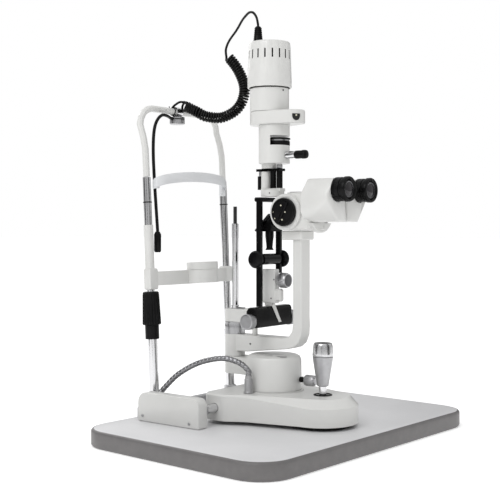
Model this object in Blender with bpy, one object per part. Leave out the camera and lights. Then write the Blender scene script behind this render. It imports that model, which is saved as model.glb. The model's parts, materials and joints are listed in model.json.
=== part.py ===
"""Slit lamp (biomicroscope) on its instrument table top.

Metres in Blender, millimetres in the constants below; mm() converts.
+Z is up, +Y points to the patient, +X to the operator's right.
The origin is the bottom centre of the table top.
"""

import math

import bmesh
import bpy
from mathutils import Matrix, Vector

# ---------------------------------------------------------------- driving sizes, in millimetres
GAP = 0.3                      # what two pieces that touch keep between them

TABLE_X, TABLE_Y, TOP = 612.0, 425.0, 30.0      # TOP is also the height of the working surface
TABLE_CORNER = 60.0
# The instrument stands a little askew on the table top.
TABLE_TURN, TABLE_SHIFT = math.radians(-3.3), (16.2, 6.0)

RAIL_X = 154.6                 # middle of each rail cover, to either side
COVER_WIDE, COVER_FROM, COVER_TO, COVER_HIGH = 24.0, 54.0, 197.0, 52.0
COVER_WALL = 2.2

AXLE_Y, AXLE_H, AXLE_R = 67.0, 29.0, 8.0
WHEEL_R, WHEEL_IN, WHEEL_OUT = 10.0, 150.0, 158.0

POST_X, POST_Y = 111.0, 207.0  # foot of each headrest post
POST_LEAN = 0.047              # radians, towards the patient
POST_FOOT, POST_STEP, POST_TOP = 21.0, 140.0, 438.0
POST_R_LOW, POST_R_HIGH, POST_BORE = 9.0, 7.3, 7.7
CUP_IN = 32.0  # from the posts' line to the middle of the chin cup
ARCH_R, ARCH_TOP, ARCH_BACK = 6.25, 568.0, 243.0

BASE_LOW, BASE_TOP, BASE_WALL = 7.0, 53.0, 4.0
BASE_HALF, BASE_FAR_Y = 108.0, 98.0
NOSE_Y, NOSE_R = -85.0, 65.0   # round operator end of the base
CONNECTOR = (-64.0, 25.7)      # where the hose enters the base's top
JOYSTICK_Y, BALL_H, BALL_R = -88.7, 43.0, 12.5

TURRET_Y, TURRET_R, TURRET_TOP = 17.5, 51.5, 116.0
PIVOT_Y, HUB_R, PIVOT_R, PIVOT_BORE = 106.4, 19.0, 7.5, 7.9
BRACKET_LOW, BRACKET_TOP = 76.0, 107.5
ARM_HUB_LOW, ARM_HUB_TOP, RING_TOP, LAMP_ARM_TOP = 108.0, 148.6, 170.6, 195.0

SCOPE_H, DRUM_Y, DRUM_R = 372.0, -32.6, 32.0     # optical axis of the microscope, and its drum
COLUMN_HALF, COLUMN_FRONT, COLUMN_BACK = 14.0, -34.0, -52.4
SHOE_LOW, SHOE_TOP = 323.0, 339.6
EYE_X, EYE_H, EYE_FACE_Y = 35.0, 409.0, -164.0
PRISM_PIVOT_Y = -83.0

LAMP_Y, TILT_H = 27.0, 178.5   # lamp axis, and the height of the tilt shaft
TILT_HALF, KNOB_OUT, KNOB_R = 55.0, 69.5, 14.0
SLIT_KNOB_H, SLIT_KNOB_R, SLIT_KNOB_OUT = 288.0, 15.8, 46.0
YOKE_X, YOKE_TOP = 29.5, 399.0
STEM_LOW, HOUSING_LOW, HOUSING_TOP = 400.7, 459.8, 528.5
HOUSING_Y, HOUSING_R = 16.5, 27.9
WINDOW_TURN = math.radians(-52.4)
WHEEL_AT = (4.6, 10.6)
COLLAR_TOP, BODY_TOP, CAP_TOP = 553.2, 595.0, 677.5
LAMP_R, CAP_R = 35.3, 39.8
PLUG_Y, PLUG_TOP = 53.0, 710.5


def mm(*values):
    return tuple(v / 1000 for v in values) if len(values) > 1 else values[0] / 1000


def above(height):
    """Height over the table's surface, as a height over the origin."""
    return TOP + height


# ---------------------------------------------------------------- materials
def material(name, colour, roughness, metallic=0.0, alpha=1.0):
    made = bpy.data.materials.get(name)
    if made is None:
        made = bpy.data.materials.new(name)
        made.use_nodes = True
        shader = made.node_tree.nodes["Principled BSDF"]
        shader.inputs["Base Color"].default_value = (*colour, 1.0)
        shader.inputs["Roughness"].default_value = roughness
        shader.inputs["Metallic"].default_value = metallic
        shader.inputs["Alpha"].default_value = alpha
    return made


def white_paint():
    return material("white_paint", (0.80, 0.80, 0.78), 0.35)


def black_gloss():
    return material("black_gloss", (0.012, 0.012, 0.013), 0.18)


def chrome():
    return material("chrome", (0.75, 0.75, 0.76), 0.12, 1.0)


def satin_silver():
    return material("satin_silver", (0.55, 0.55, 0.56), 0.35, 1.0)


def laminate():
    return material("grey_laminate", (0.60, 0.60, 0.61), 0.45)


def glass():
    return material("optical_glass", (0.55, 0.62, 0.65), 0.05, 0.0, 0.5)


# ---------------------------------------------------------------- shapes
AXES = {"X": (1, 2, 0), "Y": (2, 0, 1), "Z": (0, 1, 2)}


def placed(u, v, along, axis):
    """A point of an outline (u, v) at a distance along the axis, in X, Y, Z order."""
    point = [0.0, 0.0, 0.0]
    for index, value in zip(AXES[axis], (u, v, along)):
        point[index] = value
    return point


def object_of(name, bm, pivot):
    bmesh.ops.recalc_face_normals(bm, faces=bm.faces)
    bmesh.ops.transform(bm, matrix=Matrix.Translation(-Vector(pivot)), verts=bm.verts)
    bmesh.ops.scale(bm, vec=(0.001, 0.001, 0.001), verts=bm.verts)
    mesh = bpy.data.meshes.new(name)
    bm.to_mesh(mesh)
    bm.free()
    made = bpy.data.objects.new(name, mesh)
    made.location = mm(*pivot)
    bpy.context.scene.collection.objects.link(made)
    return made


def finish(made, mat, angle=35):
    made.data.materials.clear()
    made.data.materials.append(mat)
    if made.type == "MESH":
        made.data.shade_smooth()
        made.data.set_sharp_from_angle(angle=math.radians(angle))
    return made


def prism(name, outline, low, high, axis="Z", pivot=(0, 0, 0)):
    """An outline extruded along an axis. For X the outline is (Y, Z), for Y (Z, X), for Z (X, Y)."""
    bm = bmesh.new()
    ring = [bm.verts.new(placed(u, v, low, axis)) for u, v in outline]
    face = bm.faces.new(ring)
    moved = bmesh.ops.extrude_face_region(bm, geom=[face])["geom"]
    shift = Vector(placed(0, 0, high - low, axis))
    bmesh.ops.translate(bm, vec=shift, verts=[e for e in moved if isinstance(e, bmesh.types.BMVert)])
    return object_of(name, bm, pivot)


def box(name, low, high, pivot=(0, 0, 0)):
    (x0, y0, z0), (x1, y1, z1) = low, high
    return prism(name, [(x0, y0), (x1, y0), (x1, y1), (x0, y1)], z0, z1, "Z", pivot)


def turned(name, profile, centre, axis="Z", pivot=None, steps=28):
    """A profile of (radius, height) points turned round the axis through the centre.

    Points with radius 0 lie on the axis; between two of them the profile isn't closed.
    """
    bm = bmesh.new()
    rings = []
    for radius, height in profile:
        count = steps if radius > 0 else 1
        ring = []
        for i in range(count):
            turn = 2 * math.pi * i / steps
            u, v = radius * math.cos(turn), radius * math.sin(turn)
            ring.append(bm.verts.new(Vector(placed(u, v, height, axis)) + Vector(centre)))
        rings.append(ring)
    for one, other in zip(rings, rings[1:] + rings[:1]):
        if len(one) == len(other) == 1:
            continue
        for i in range(steps):
            j = (i + 1) % steps
            corners = [one[i % len(one)], one[j % len(one)], other[j % len(other)], other[i % len(other)]]
            bm.faces.new(dict.fromkeys(corners))
    return object_of(name, bm, pivot or centre)


def pin(name, radius, low, high, centre, axis="Z", pivot=None, steps=28):
    return turned(name, [(0, low), (radius, low), (radius, high), (0, high)], centre, axis, pivot, steps)


def sleeve(name, outer, inner, low, high, centre, axis="Z", pivot=None, steps=28):
    profile = [(outer, low), (outer, high), (inner, high), (inner, low)]
    return turned(name, profile, centre, axis, pivot, steps)


def combine(made, other, operation):
    """Adds another object to this one, or cuts it away. The other one stays as a hidden helper."""
    other.hide_render = True
    other.display_type = "WIRE"
    other.name = f"helper_{made.name}_{len(made.modifiers)}"
    boolean = made.modifiers.new(operation.lower(), "BOOLEAN")
    boolean.operation = operation
    boolean.object = other
    return made


def add(made, *others):
    for other in others:
        combine(made, other, "UNION")
    return made


def cut(made, *others):
    for other in others:
        combine(made, other, "DIFFERENCE")
    return made


def rounded(made, width, segments=2, angle=40):
    bevel = made.modifiers.new("bevel", "BEVEL")
    bevel.width = mm(width)
    bevel.segments = segments
    bevel.limit_method = "ANGLE"
    bevel.angle_limit = math.radians(angle)
    return made


def arc(centre, radius, start, end, steps):
    """Points of an arc, angles in degrees."""
    for i in range(steps + 1):
        turn = math.radians(start + (end - start) * i / steps)
        yield centre[0] + radius * math.cos(turn), centre[1] + radius * math.sin(turn)


def rounded_rectangle(low, high, radii, steps=6):
    """Outline with its own corner radius at each corner, from the high-high one, counterclockwise."""
    (x0, y0), (x1, y1) = low, high
    corners = [(x1, y1, -1, -1, 0), (x0, y1, 1, -1, 90), (x0, y0, 1, 1, 180), (x1, y0, -1, 1, 270)]
    outline = []
    for (x, y, inx, iny, start), radius in zip(corners, radii):
        centre = (x + inx * radius, y + iny * radius)
        outline.extend(arc(centre, radius, start, start + 90, steps) if radius else [(x, y)])
    return outline


def smooth_route(points, spacing):
    """A Catmull-Rom curve through the route's points, read at about this spacing, in millimetres."""
    route = [Vector(p) for p in points]
    ends = [2 * route[0] - route[1], *route, 2 * route[-1] - route[-2]]
    found = []
    for before, here, there, after in zip(ends, ends[1:], ends[2:], ends[3:]):
        steps = max(1, round((there - here).length / spacing))
        for i in range(steps):
            t = i / steps
            found.append(
                0.5 * (2 * here + (there - before) * t
                       + (2 * before - 5 * here + 4 * there - after) * t ** 2
                       + (3 * here - before - 3 * there + after) * t ** 3)
            )
    return found + [route[-1]]


def tube(name, points, radius, mat, resolution=2, pivot=(0, 0, 0)):
    """A round tube along points in millimetres, as a curve with filled caps."""
    data = bpy.data.curves.new(name, "CURVE")
    data.dimensions = "3D"
    data.bevel_depth = mm(radius)
    data.bevel_resolution = resolution
    data.use_fill_caps = True
    spline = data.splines.new("POLY")
    spline.points.add(len(points) - 1)
    for place, point in zip(spline.points, points):
        place.co = (*mm(*(Vector(point) - Vector(pivot))), 1.0)
    made = bpy.data.objects.new(name, data)
    made.location = mm(*pivot)
    bpy.context.scene.collection.objects.link(made)
    return finish(made, mat)


def lean(made):
    """Turns a headrest piece, made upright, back about the line of the post feet."""
    foot = Vector(mm(0, POST_Y, above(POST_FOOT)))
    turn = Matrix.Rotation(-POST_LEAN, 4, "X")
    made.matrix_world = Matrix.Translation(foot) @ turn @ Matrix.Translation(-foot) @ made.matrix_basis
    return made


def leaning_y(height, y=POST_Y):
    """Where a point made upright at this height over the table ends up once it leans."""
    return y + math.tan(POST_LEAN) * (height - POST_FOOT)


# ---------------------------------------------------------------- table, rails and headrest
def table():
    half = (TABLE_X / 2, TABLE_Y / 2)
    outline = rounded_rectangle((-half[0], -half[1]), half, [TABLE_CORNER] * 4, 8)
    top = prism("table_top", outline, 0, TOP)
    top.data.transform(Matrix.Translation(mm(*TABLE_SHIFT, 0)) @ Matrix.Rotation(TABLE_TURN, 4, "Z"))
    finish(rounded(top, 5, 3), laminate())


def rail(side, name):
    """The rack that a wheel rolls on, and its cover: a shell open below, slotted on its inner side."""
    x = side * RAIL_X
    rack_half = 7.0
    rack_top = AXLE_H - WHEEL_R - GAP
    rack = box(
        f"rack_{name}",
        (x - rack_half, COVER_FROM + COVER_WALL + GAP, above(GAP)),
        (x + rack_half, COVER_TO - COVER_WALL - GAP, above(rack_top)),
        (x, AXLE_Y, TOP),
    )
    finish(rack, satin_silver())
    out = COVER_WIDE / 2
    outer = rounded_rectangle(
        (COVER_FROM, above(GAP)), (COVER_TO, above(COVER_HIGH)), [18, 13, 0, 0]
    )
    inner = rounded_rectangle(
        (COVER_FROM + COVER_WALL, TOP - 5), (COVER_TO - COVER_WALL, above(COVER_HIGH - COVER_WALL)),
        [16, 11, 0, 0],
    )
    cover = rounded(prism(f"rail_cover_{name}", outer, x - out, x + out, "X", (x, AXLE_Y, TOP)), 2.5, 2)
    hollow = prism("h", inner, x - out + COVER_WALL, x + out - COVER_WALL, "X")
    slot_from, slot_to = COVER_FROM + 2.6, COVER_FROM + 88
    slot_x = sorted((x - side * (out - 4), x - side * (out + 4)))
    slot = box("s", (slot_x[0], slot_from, above(AXLE_H - 9.5)), (slot_x[1], slot_to, above(AXLE_H + 9.5)))
    finish(cut(cover, hollow, slot), white_paint())


def headrest_frame():
    bar = rounded(box("headrest_crossbar", (-150, 199, above(GAP)), (150, 215, above(20))), 1.5, 1)
    finish(bar, satin_silver())
    for side, name in ((-1, "left"), (1, "right")):
        foot = (side * POST_X, POST_Y, 0)
        profile = [
            (0, above(POST_FOOT)), (POST_R_LOW, above(POST_FOOT)), (POST_R_LOW, above(POST_STEP)),
            (POST_R_HIGH, above(POST_STEP)), (POST_R_HIGH, above(POST_TOP)), (0, above(POST_TOP)),
        ]
        finish(lean(turned(f"post_{name}", profile, foot, steps=20)), chrome())
    # The arch: up from each post, back over the patient's side, then across.
    start = leaning_y(POST_TOP + 1)
    half = [
        (POST_X, start, POST_TOP + 1), (POST_X, start + 1.5, 465), (POST_X, start + 3, 490),
        (POST_X, 234.5, 512), (POST_X, 241.5, 532),
    ]
    corner = 32.0
    half += [
        (POST_X - corner + u, ARCH_BACK, ARCH_TOP - corner + v)
        for u, v in arc((0, 0), corner, 0, 90, 4)
    ]
    route = [(-x, y, above(h)) for x, y, h in half]
    route += [(0, ARCH_BACK, above(ARCH_TOP))]
    route += [(x, y, above(h)) for x, y, h in reversed(half)]
    tube("headrest_arch", smooth_route(route, 16), ARCH_R, white_paint(), 3)


def band_point(t, half, end_y, mid_y):
    """A point of a band that bows towards the operator between the posts, t from -1 to 1."""
    return half * math.sin(t * math.pi / 2), end_y + (mid_y - end_y) * math.cos(t * math.pi / 2)


def bowed_strip(name, half, end_y, mid_y, thick, low, high, rise, steps=14):
    """A bowed strip whose middle stands higher than its ends by rise."""
    bm = bmesh.new()
    rows = []
    for i in range(steps + 1):
        t = 2 * i / steps - 1
        x, y = band_point(t, half, end_y, mid_y)
        lift = rise * math.cos(t * math.pi / 2)
        rows.append([
            bm.verts.new((x, y + across, above(height + lift)))
            for across, height in ((0, low), (thick, low), (thick, high), (0, high))
        ])
    for one, other in zip(rows, rows[1:]):
        for i in range(4):
            j = (i + 1) % 4
            bm.faces.new((one[i], one[j], other[j], other[i]))
    bm.faces.new(rows[0])
    bm.faces.new(reversed(rows[-1]))
    return object_of(name, bm, (0, 0, 0))


def forehead_band():
    reach = POST_X - POST_R_HIGH - GAP - 0.2
    made = bowed_strip("forehead_band", reach, 215, 189, 2.5, 416, 435, 15.5)
    finish(made, material("milky_plastic", (0.78, 0.79, 0.80), 0.4))


def fixation_light():
    x = -8.0
    clamp = pin("fixation_clamp", ARCH_R + 3, x - 8, x + 8, (0, ARCH_BACK, above(ARCH_TOP)), "X",
                (x, ARCH_BACK, above(ARCH_TOP)), steps=24)
    bore = pin("b", ARCH_R + 0.5, x - 20, x + 20, (0, ARCH_BACK, above(ARCH_TOP)), "X")
    cup_top = ARCH_TOP - ARCH_R - 3 - GAP
    stud = pin("p", 4, above(cup_top - 8), above(ARCH_TOP - ARCH_R - 1.5), (x, ARCH_BACK, 0), steps=16)
    finish(add(cut(clamp, bore), stud), chrome())
    pivot = (x, ARCH_BACK, above(cup_top))
    hub = pin("h", 14.5, above(cup_top - 14), above(cup_top), (x, ARCH_BACK, 0))
    well = pin("w", 4.4, above(cup_top - 8.6), above(cup_top + 2), (x, ARCH_BACK, 0), steps=16)
    route = [
        (x - 10, ARCH_BACK, cup_top - 6), (-30, 241, 555), (-48, 234, 557), (-69, 227, 555.5),
        (-86, 223.5, 544), (-95.5, 222, 524), (-98.5, 221.5, 488), (-95.5, 221.5, 433), (-87, 222, 344),
        (-86.6, 222, 338),
    ]
    neck = solid_tube("n", [(u, v, above(h)) for u, v, h in route], 3.0)
    finish(add(rebased(cut(hub, well), "fixation_arm", pivot), neck), black_gloss())
    profile = [(0, above(299)), (5.2, above(299)), (6.7, above(302)), (6.7, above(332)), (4.2, above(337.4)),
               (0, above(337.4))]
    lamp = turned("fixation_lamp", profile, (-86.6, 222, 0), pivot=pivot, steps=20)
    finish(lamp, black_gloss())


def rebased(made, name, pivot):
    """The same solid under a new name, with its origin on its joint's axis."""
    shift = Vector(mm(*pivot)) - made.location
    made.data.transform(Matrix.Translation(-shift))
    made.location = mm(*pivot)
    made.name = name
    return made


def solid_tube(name, points, radius, sides=10):
    """A tube as a mesh, for joining to another solid."""
    bm = bmesh.new()
    path = smooth_route(points, 3 * radius)
    rings = []
    across = Vector((0, 1, 0))
    for i, place in enumerate(path):
        along = (path[min(i + 1, len(path) - 1)] - path[max(i - 1, 0)]).normalized()
        across = (across - along * across.dot(along)).normalized()
        up = along.cross(across)
        rings.append([
            bm.verts.new(place + radius * (across * math.cos(a) + up * math.sin(a)))
            for a in (2 * math.pi * k / sides for k in range(sides))
        ])
    for one, other in zip(rings, rings[1:]):
        for i in range(sides):
            j = (i + 1) % sides
            bm.faces.new((one[i], one[j], other[j], other[i]))
    bm.faces.new(rings[0])
    bm.faces.new(reversed(rings[-1]))
    return object_of(name, bm, (0, 0, 0))


def chin_rest():
    """The bar that slides on both posts, with a long sleeve on the left, its cup, and the height knob."""
    # Everything here is made upright and then leans with the posts.
    y = POST_Y
    bar = bowed_strip("chin_rest_bar", POST_X - 2, y, y - 22, 5, 238, 264, 0)
    left = pin("l", 8.6, above(231), above(350), (-POST_X, y, 0), steps=24)
    block = box("k", (-POST_X - 9, y - 9, above(231)), (-POST_X + 13, y + 9, above(270)))
    right = box("r", (POST_X - 12, y - 9.5, above(237)), (POST_X + 9.5, y + 9.5, above(268)))
    rounded(block, 3, 2)
    rounded(right, 3, 2)
    tub = turned(
        "t", [(r, above(h)) for r, h in ((30, 239), (30, 264), (24, 264), (26.5, 261), (26.5, 239))],
        (0, y - CUP_IN, 0), steps=36,
    )
    add(bar, left, block, right, tub)
    for side in (-1, 1):
        cut(bar, pin("b", POST_BORE, above(200), above(380), (side * POST_X, y, 0), steps=20))
    finish(lean(bar), white_paint())
    for helper in [m.object for m in bar.modifiers]:
        lean(helper)
    cup_profile = [(0, 264.5), (30, 264.5), (30, 277.5), (29, 278.6), (27.4, 278.6), (25, 272), (13, 268.6), (0, 268)]
    cup = turned("chin_cup", [(r, above(h)) for r, h in cup_profile], (0, y - CUP_IN, 0), steps=36)
    finish(lean(cup), white_paint())
    knob_profile = [(12.8, 140.6), (12.8, 167), (17.2, 168.5), (14.9, 227.5), (POST_BORE, 227.5),
                    (POST_BORE, 140.6)]
    knob = turned("chin_height_knob", [(r, above(h)) for r, h in knob_profile], (-POST_X, y, 0))
    finish(lean(knob), black_gloss())


# ---------------------------------------------------------------- carriage and base
def carriage():
    centre = (0, AXLE_Y, above(AXLE_H))
    stub = WHEEL_IN - GAP
    end = WHEEL_OUT + 1
    profile = [(0, -end), (5, -end), (5, -stub), (AXLE_R, -stub), (AXLE_R, stub), (5, stub), (5, end), (0, end)]
    finish(turned("cross_axle", profile, centre, "X", steps=20), chrome())
    for side, name in ((-1, "left"), (1, "right")):
        low, high = sorted((side * WHEEL_IN, side * WHEEL_OUT))
        made = sleeve(f"wheel_{name}", WHEEL_R, 5.35, low, high, centre, "X")
        finish(made, satin_silver())


def base_outline():
    """Plan of the base: wide where the axle crosses it, narrowing to a round operator end."""
    right = list(arc((0, NOSE_Y), NOSE_R, -90, 0, 10))
    right += [(88, 12), (99, 34), (106, 44), (BASE_HALF, 56)]
    corner = 22.0
    right += list(arc((BASE_HALF - corner, BASE_FAR_Y - corner), corner, 0, 90, 5))
    return right + [(-x, y) for x, y in reversed(right) if x > 0.01]


def inset(outline, widths):
    """The outline moved inwards by a width at each of its points."""
    moved = []
    count = len(outline)
    for i, width in enumerate(widths):
        before, here, after = (Vector(outline[(i + k) % count]) for k in (-1, 0, 1))
        first, second = (here - before).normalized(), (after - here).normalized()
        inward = Vector((-first.y - second.y, first.x + second.x)).normalized()
        slant = max(0.5, inward.dot(Vector((-first.y, first.x))))
        moved.append(tuple(here + inward * width / slant))
    return moved


def stacked(name, rings, pivot=(0, 0, 0)):
    """A solid through rings of equally many (x, y, z) points, closed flat below and above."""
    bm = bmesh.new()
    made = [[bm.verts.new(point) for point in ring] for ring in rings]
    for one, other in zip(made, made[1:]):
        for i in range(len(one)):
            j = (i + 1) % len(one)
            bm.faces.new((one[i], one[j], other[j], other[i]))
    bm.faces.new(made[0])
    bm.faces.new(made[-1])
    return object_of(name, bm, pivot)


def base():
    outline = base_outline()
    # The shoulder between wall and top grows from a small edge by the patient to a broad one at the nose.
    share = [min(1.0, max(0.0, (30 - y) / 130)) for _, y in outline]
    top = inset(outline, [2.5 + 11.5 * s for s in share])
    housing = stacked(
        "base_housing",
        [
            [(x, y, above(BASE_LOW)) for x, y in outline],
            [(x, y, above(BASE_TOP - 2.5 - 12.5 * s)) for (x, y), s in zip(outline, share)],
            [(x, y, above(BASE_TOP)) for x, y in top],
        ],
        (0, AXLE_Y, above(AXLE_H)),
    )
    ring = sleeve("g", TURRET_R + 3.5, 33, above(BASE_TOP - 4), above(BASE_TOP + 1.5), (0, TURRET_Y, 0), steps=40)
    cavity = prism("c", inset(outline, [BASE_WALL] * len(outline)), above(BASE_LOW - 5), above(BASE_TOP - 18))
    axle = pin("x", AXLE_R + 0.5, -130, 130, (0, AXLE_Y, above(AXLE_H)), "X")
    ball = pin("j", BALL_R + 0.7, TOP, above(BASE_TOP + 20), (0, JOYSTICK_Y, 0), steps=24)
    well = pin("k", 33, TOP, above(BASE_TOP + 20), (0, TURRET_Y, 0), steps=32)
    finish(cut(add(housing, ring), cavity, axle, ball, well), white_paint())
    column = [(0, 36), (32.6, 36), (32.6, 48), (25, 48), (25, 104), (0, 104)]
    finish(turned("lift_column", [(r, above(h)) for r, h in column], (0, TURRET_Y, 0)), chrome())
    connector = [(0, 53.4), (9.2, 53.4), (9, 56), (7.2, 58.5), (7.2, 76), (5.2, 79), (5.2, 84), (0, 84)]
    finish(
        turned("hose_connector", [(r, above(h)) for r, h in connector], (*CONNECTOR, 0), steps=16),
        satin_silver(),
    )


def joystick():
    centre = (0, JOYSTICK_Y, above(BALL_H))
    ball = [(0, -BALL_R)]
    ball += [(BALL_R * math.cos(a), BALL_R * math.sin(a)) for a in (math.radians(-60 + 20 * i) for i in range(7))]
    ball += [(0, BALL_R * math.sin(math.radians(60)))]
    ball[0] = (0, BALL_R * math.sin(math.radians(-60)))
    finish(turned("joystick_ball", ball, centre, steps=24), black_gloss())
    foot = BALL_H + BALL_R * math.sin(math.radians(60)) + GAP
    shaft = [(0, foot), (1.5, foot), (6.8, foot + 0.9), (6.8, 68.4), (3.2, 68.4), (3.2, 116), (0, 116)]
    finish(
        turned("joystick_shaft", [(r, above(h)) for r, h in shaft], (0, JOYSTICK_Y, 0), pivot=centre, steps=20),
        chrome(),
    )
    grip = [(0, 116.6), (3.7, 116.6), (3.7, 68.8), (9.6, 68.8), (10.2, 70), (17.8, 119.6), (18.3, 120.4),
            (18.3, 131.5), (16, 141.5), (14, 143.6), (0, 144.6)]
    finish(
        turned("joystick_grip", [(r, above(h)) for r, h in grip], (0, JOYSTICK_Y, 0), pivot=centre),
        satin_silver(),
    )


def turret():
    """The column housing that the joystick raises, with the bracket that carries the pivot."""
    low = BASE_TOP + 1.9
    profile = [
        (TURRET_R, low), (TURRET_R - 1.5, TURRET_TOP - 8), (TURRET_R - 4, TURRET_TOP - 2.5),
        (TURRET_R - 9, TURRET_TOP), (0, TURRET_TOP), (0, TURRET_TOP - 6), (TURRET_R - 8, TURRET_TOP - 6),
        (TURRET_R - 4, TURRET_TOP - 12), (TURRET_R - 4, low),
    ]
    profile = [(r, above(h)) for r, h in profile]
    shell = turned("column_housing", profile, (0, TURRET_Y, 0), steps=44)
    bracket = prism(
        "b",
        [*arc((0, PIVOT_Y), HUB_R, 0, 180, 12), (-HUB_R, TURRET_Y + 43), (HUB_R, TURRET_Y + 43)],
        above(BRACKET_LOW), above(BRACKET_TOP), "Z",
    )
    recess = [
        pin("r", radius, above(TURRET_TOP - 1.5), above(TURRET_TOP + 5), (x, y, 0), steps=16)
        for x, y, radius in ((-20, 12, 6.5), (-18, -14, 9.5))
    ]
    cut(add(shell, bracket), *recess)
    finish(shell, white_paint())
    lock_h = 73.5
    knob = [(0, -33.2), (4, -33.2), (4, -46), (9.7, -46.6), (9.7, -65.5), (8.6, -67), (0, -67)]
    finish(turned("column_lock_knob", knob, (12, 0, above(73.5)), "Y", steps=20), satin_silver())
    pivot = pin("pivot_shaft", PIVOT_R, above(BRACKET_TOP + GAP), above(LAMP_ARM_TOP - 5), (0, PIVOT_Y, 0))
    finish(pivot, chrome())


# ---------------------------------------------------------------- microscope
def hull(name, points, pivot):
    """The convex solid round some (x, y, height over the table) points."""
    bm = bmesh.new()
    for x, y, h in points:
        bm.verts.new((x, y, above(h)))
    found = bmesh.ops.convex_hull(bm, input=bm.verts)
    spare = {v for v in found["geom_interior"] + found["geom_unused"] if isinstance(v, bmesh.types.BMVert)}
    bmesh.ops.delete(bm, geom=list(spare), context="VERTS")
    bmesh.ops.dissolve_limit(bm, angle_limit=math.radians(1), verts=bm.verts, edges=bm.edges)
    return object_of(name, bm, pivot)


def microscope_arm():
    swing = (0, PIVOT_Y, above(ARM_HUB_LOW))
    outline = [
        (PIVOT_Y, 148.5), (-13, 148.7), (-25, 152), (-32, 161), (COLUMN_FRONT, 175), (COLUMN_FRONT, SHOE_TOP),
        (COLUMN_BACK, SHOE_TOP), (COLUMN_BACK, 190), (-53.2, 172), (-52, 155), (-46, 141), (-36, 133),
        (-21.6, 129), (68, 118), (PIVOT_Y, 118),
    ]
    outline = [(y, above(h)) for y, h in outline]
    arm = prism("microscope_arm", outline, -COLUMN_HALF, COLUMN_HALF, "X", swing)
    rounded(arm, 1.5, 1)
    hub = pin("h", HUB_R - 0.2, above(ARM_HUB_LOW), above(ARM_HUB_TOP), (0, PIVOT_Y, 0), steps=32)
    shoe = rounded(box("s", (-20, -57, above(SHOE_LOW)), (20, -13.5, above(SHOE_TOP - GAP))), 2, 1)
    index = pin("i", 5, above(146), above(166), (0, 60, 0), steps=16)
    bore = pin("b", PIVOT_BORE, above(100), above(160), (0, PIVOT_Y, 0))
    finish(cut(add(arm, hub, shoe, index), bore), white_paint())
    ring = [(HUB_R - 0.5, ARM_HUB_TOP + GAP), (HUB_R - 0.5, 160.4), (HUB_R - 1.5, 160.6), (HUB_R - 1.5, 161.2),
            (HUB_R - 0.5, 161.4), (HUB_R - 0.5, RING_TOP), (PIVOT_BORE, RING_TOP), (PIVOT_BORE, ARM_HUB_TOP + GAP)]
    made = turned("scale_ring", [(r, above(h)) for r, h in ring], (0, PIVOT_Y, 0), steps=32)
    finish(made, satin_silver())


def microscope():
    drum_centre = (0, DRUM_Y, above(SCOPE_H))
    body = pin("microscope_body", DRUM_R, -35.5, 35.5, drum_centre, "X", steps=36)
    wedge = [(-31, DRUM_Y), (-31, -79), (0, -90), (31, -79), (31, DRUM_Y)]
    rear = rounded(prism("r", wedge, above(SHOE_TOP + GAP), above(404)), 3, 1)
    plate_y = [(-26, above(404)), (26, above(404)), (26, above(406.4)), (-26, above(406.4))]
    plate = prism("p", [(z, x) for x, z in plate_y], -60, -31, "Y")
    bell = [(0, -87), (34.6, -87), (36.4, -85.2), (36.4, -79), (31.5, -62), (29, -54), (0, -54)]
    tail = turned("t", bell, (0, 0, above(SCOPE_H)), "Y", steps=40)
    cut(tail, box("u", (-50, -100, above(352.6)), (50, -40, above(420))))
    mouth = pin("m", 22, DRUM_Y, 0.5, (0, 0, above(SCOPE_H)), "Y")
    bore = pin("b", 8.4, -60, 60, drum_centre, "X")
    pocket = pin("o", 19, -4, 5, (0, 0, above(SCOPE_H)), "Y")
    finish(cut(add(body, rear, plate, tail, mouth), bore, pocket), white_paint())
    lens = [(0, -3.6), (18.6, -3.6), (18.6, -1.5), (0, 0.2)]
    finish(turned("objective_lens", lens, (0, 0, above(SCOPE_H)), "Y"), glass())
    knob = [(0, -44.6), (23.2, -44.6), (24.4, -43.4), (24.4, -36.1), (8, -36.1), (8, 36.1), (24.4, 36.1),
            (24.4, 43.4), (23.2, 44.6), (0, 44.6)]
    finish(turned("magnification_knob", knob, drum_centre, "X"), black_gloss())
    for side, name in ((-1, "left"), (1, "right")):
        viewing_tube(side, name)


def viewing_tube(side, name):
    """One prism housing, which swings out to spread the eyes, and its eyepiece."""
    top, low = 428.0, 354.6
    points = []
    for x, back, front_top in ((1.6, -95, -132), (46, -86, -143)):
        points += [(x, back, top), (x, front_top, top)]
    points += [(1.6, -138, low), (1.6, -96, low), (1.6, -93, 363), (1.6, -93, 379)]
    points += [(62, -83, 404), (63, -82.5, 372), (62, -137, 404), (63, -137, 390), (63, -124, 378)]
    points += [(57, -84, 361), (57, -98, 360.5), (40, -98, low), (30, -141, low)]
    pivot = (side * 14, PRISM_PIVOT_Y, above(358))
    housing = hull(f"prism_housing_{name}", [(side * x, y, h) for x, y, h in points], pivot)
    rounded(housing, 3.5, 2, 30)
    eye = (side * EYE_X, 0, above(EYE_H))
    boss = pin("b", 19, -139.3, -128, eye, "Y", steps=32)
    seat = pin("d", 21.8, -170, -139.3, eye, "Y", steps=32)
    bore = pin("c", 16, -170, -125, eye, "Y", steps=32)
    finish(cut(add(housing, boss), bore, seat), white_paint())
    profile = [(0, -125.4), (15.6, -125.4), (15.6, -139.7), (20.4, -139.7), (20.4, -152.5), (18.8, -153.5),
               (18.8, -156), (21.4, -157.5), (21.4, -164), (20, EYE_FACE_Y - 2), (13.5, EYE_FACE_Y - 2), (12, -160),
               (0, -160)]
    finish(turned(f"eyepiece_{name}", profile, eye, "Y"), black_gloss())


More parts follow.
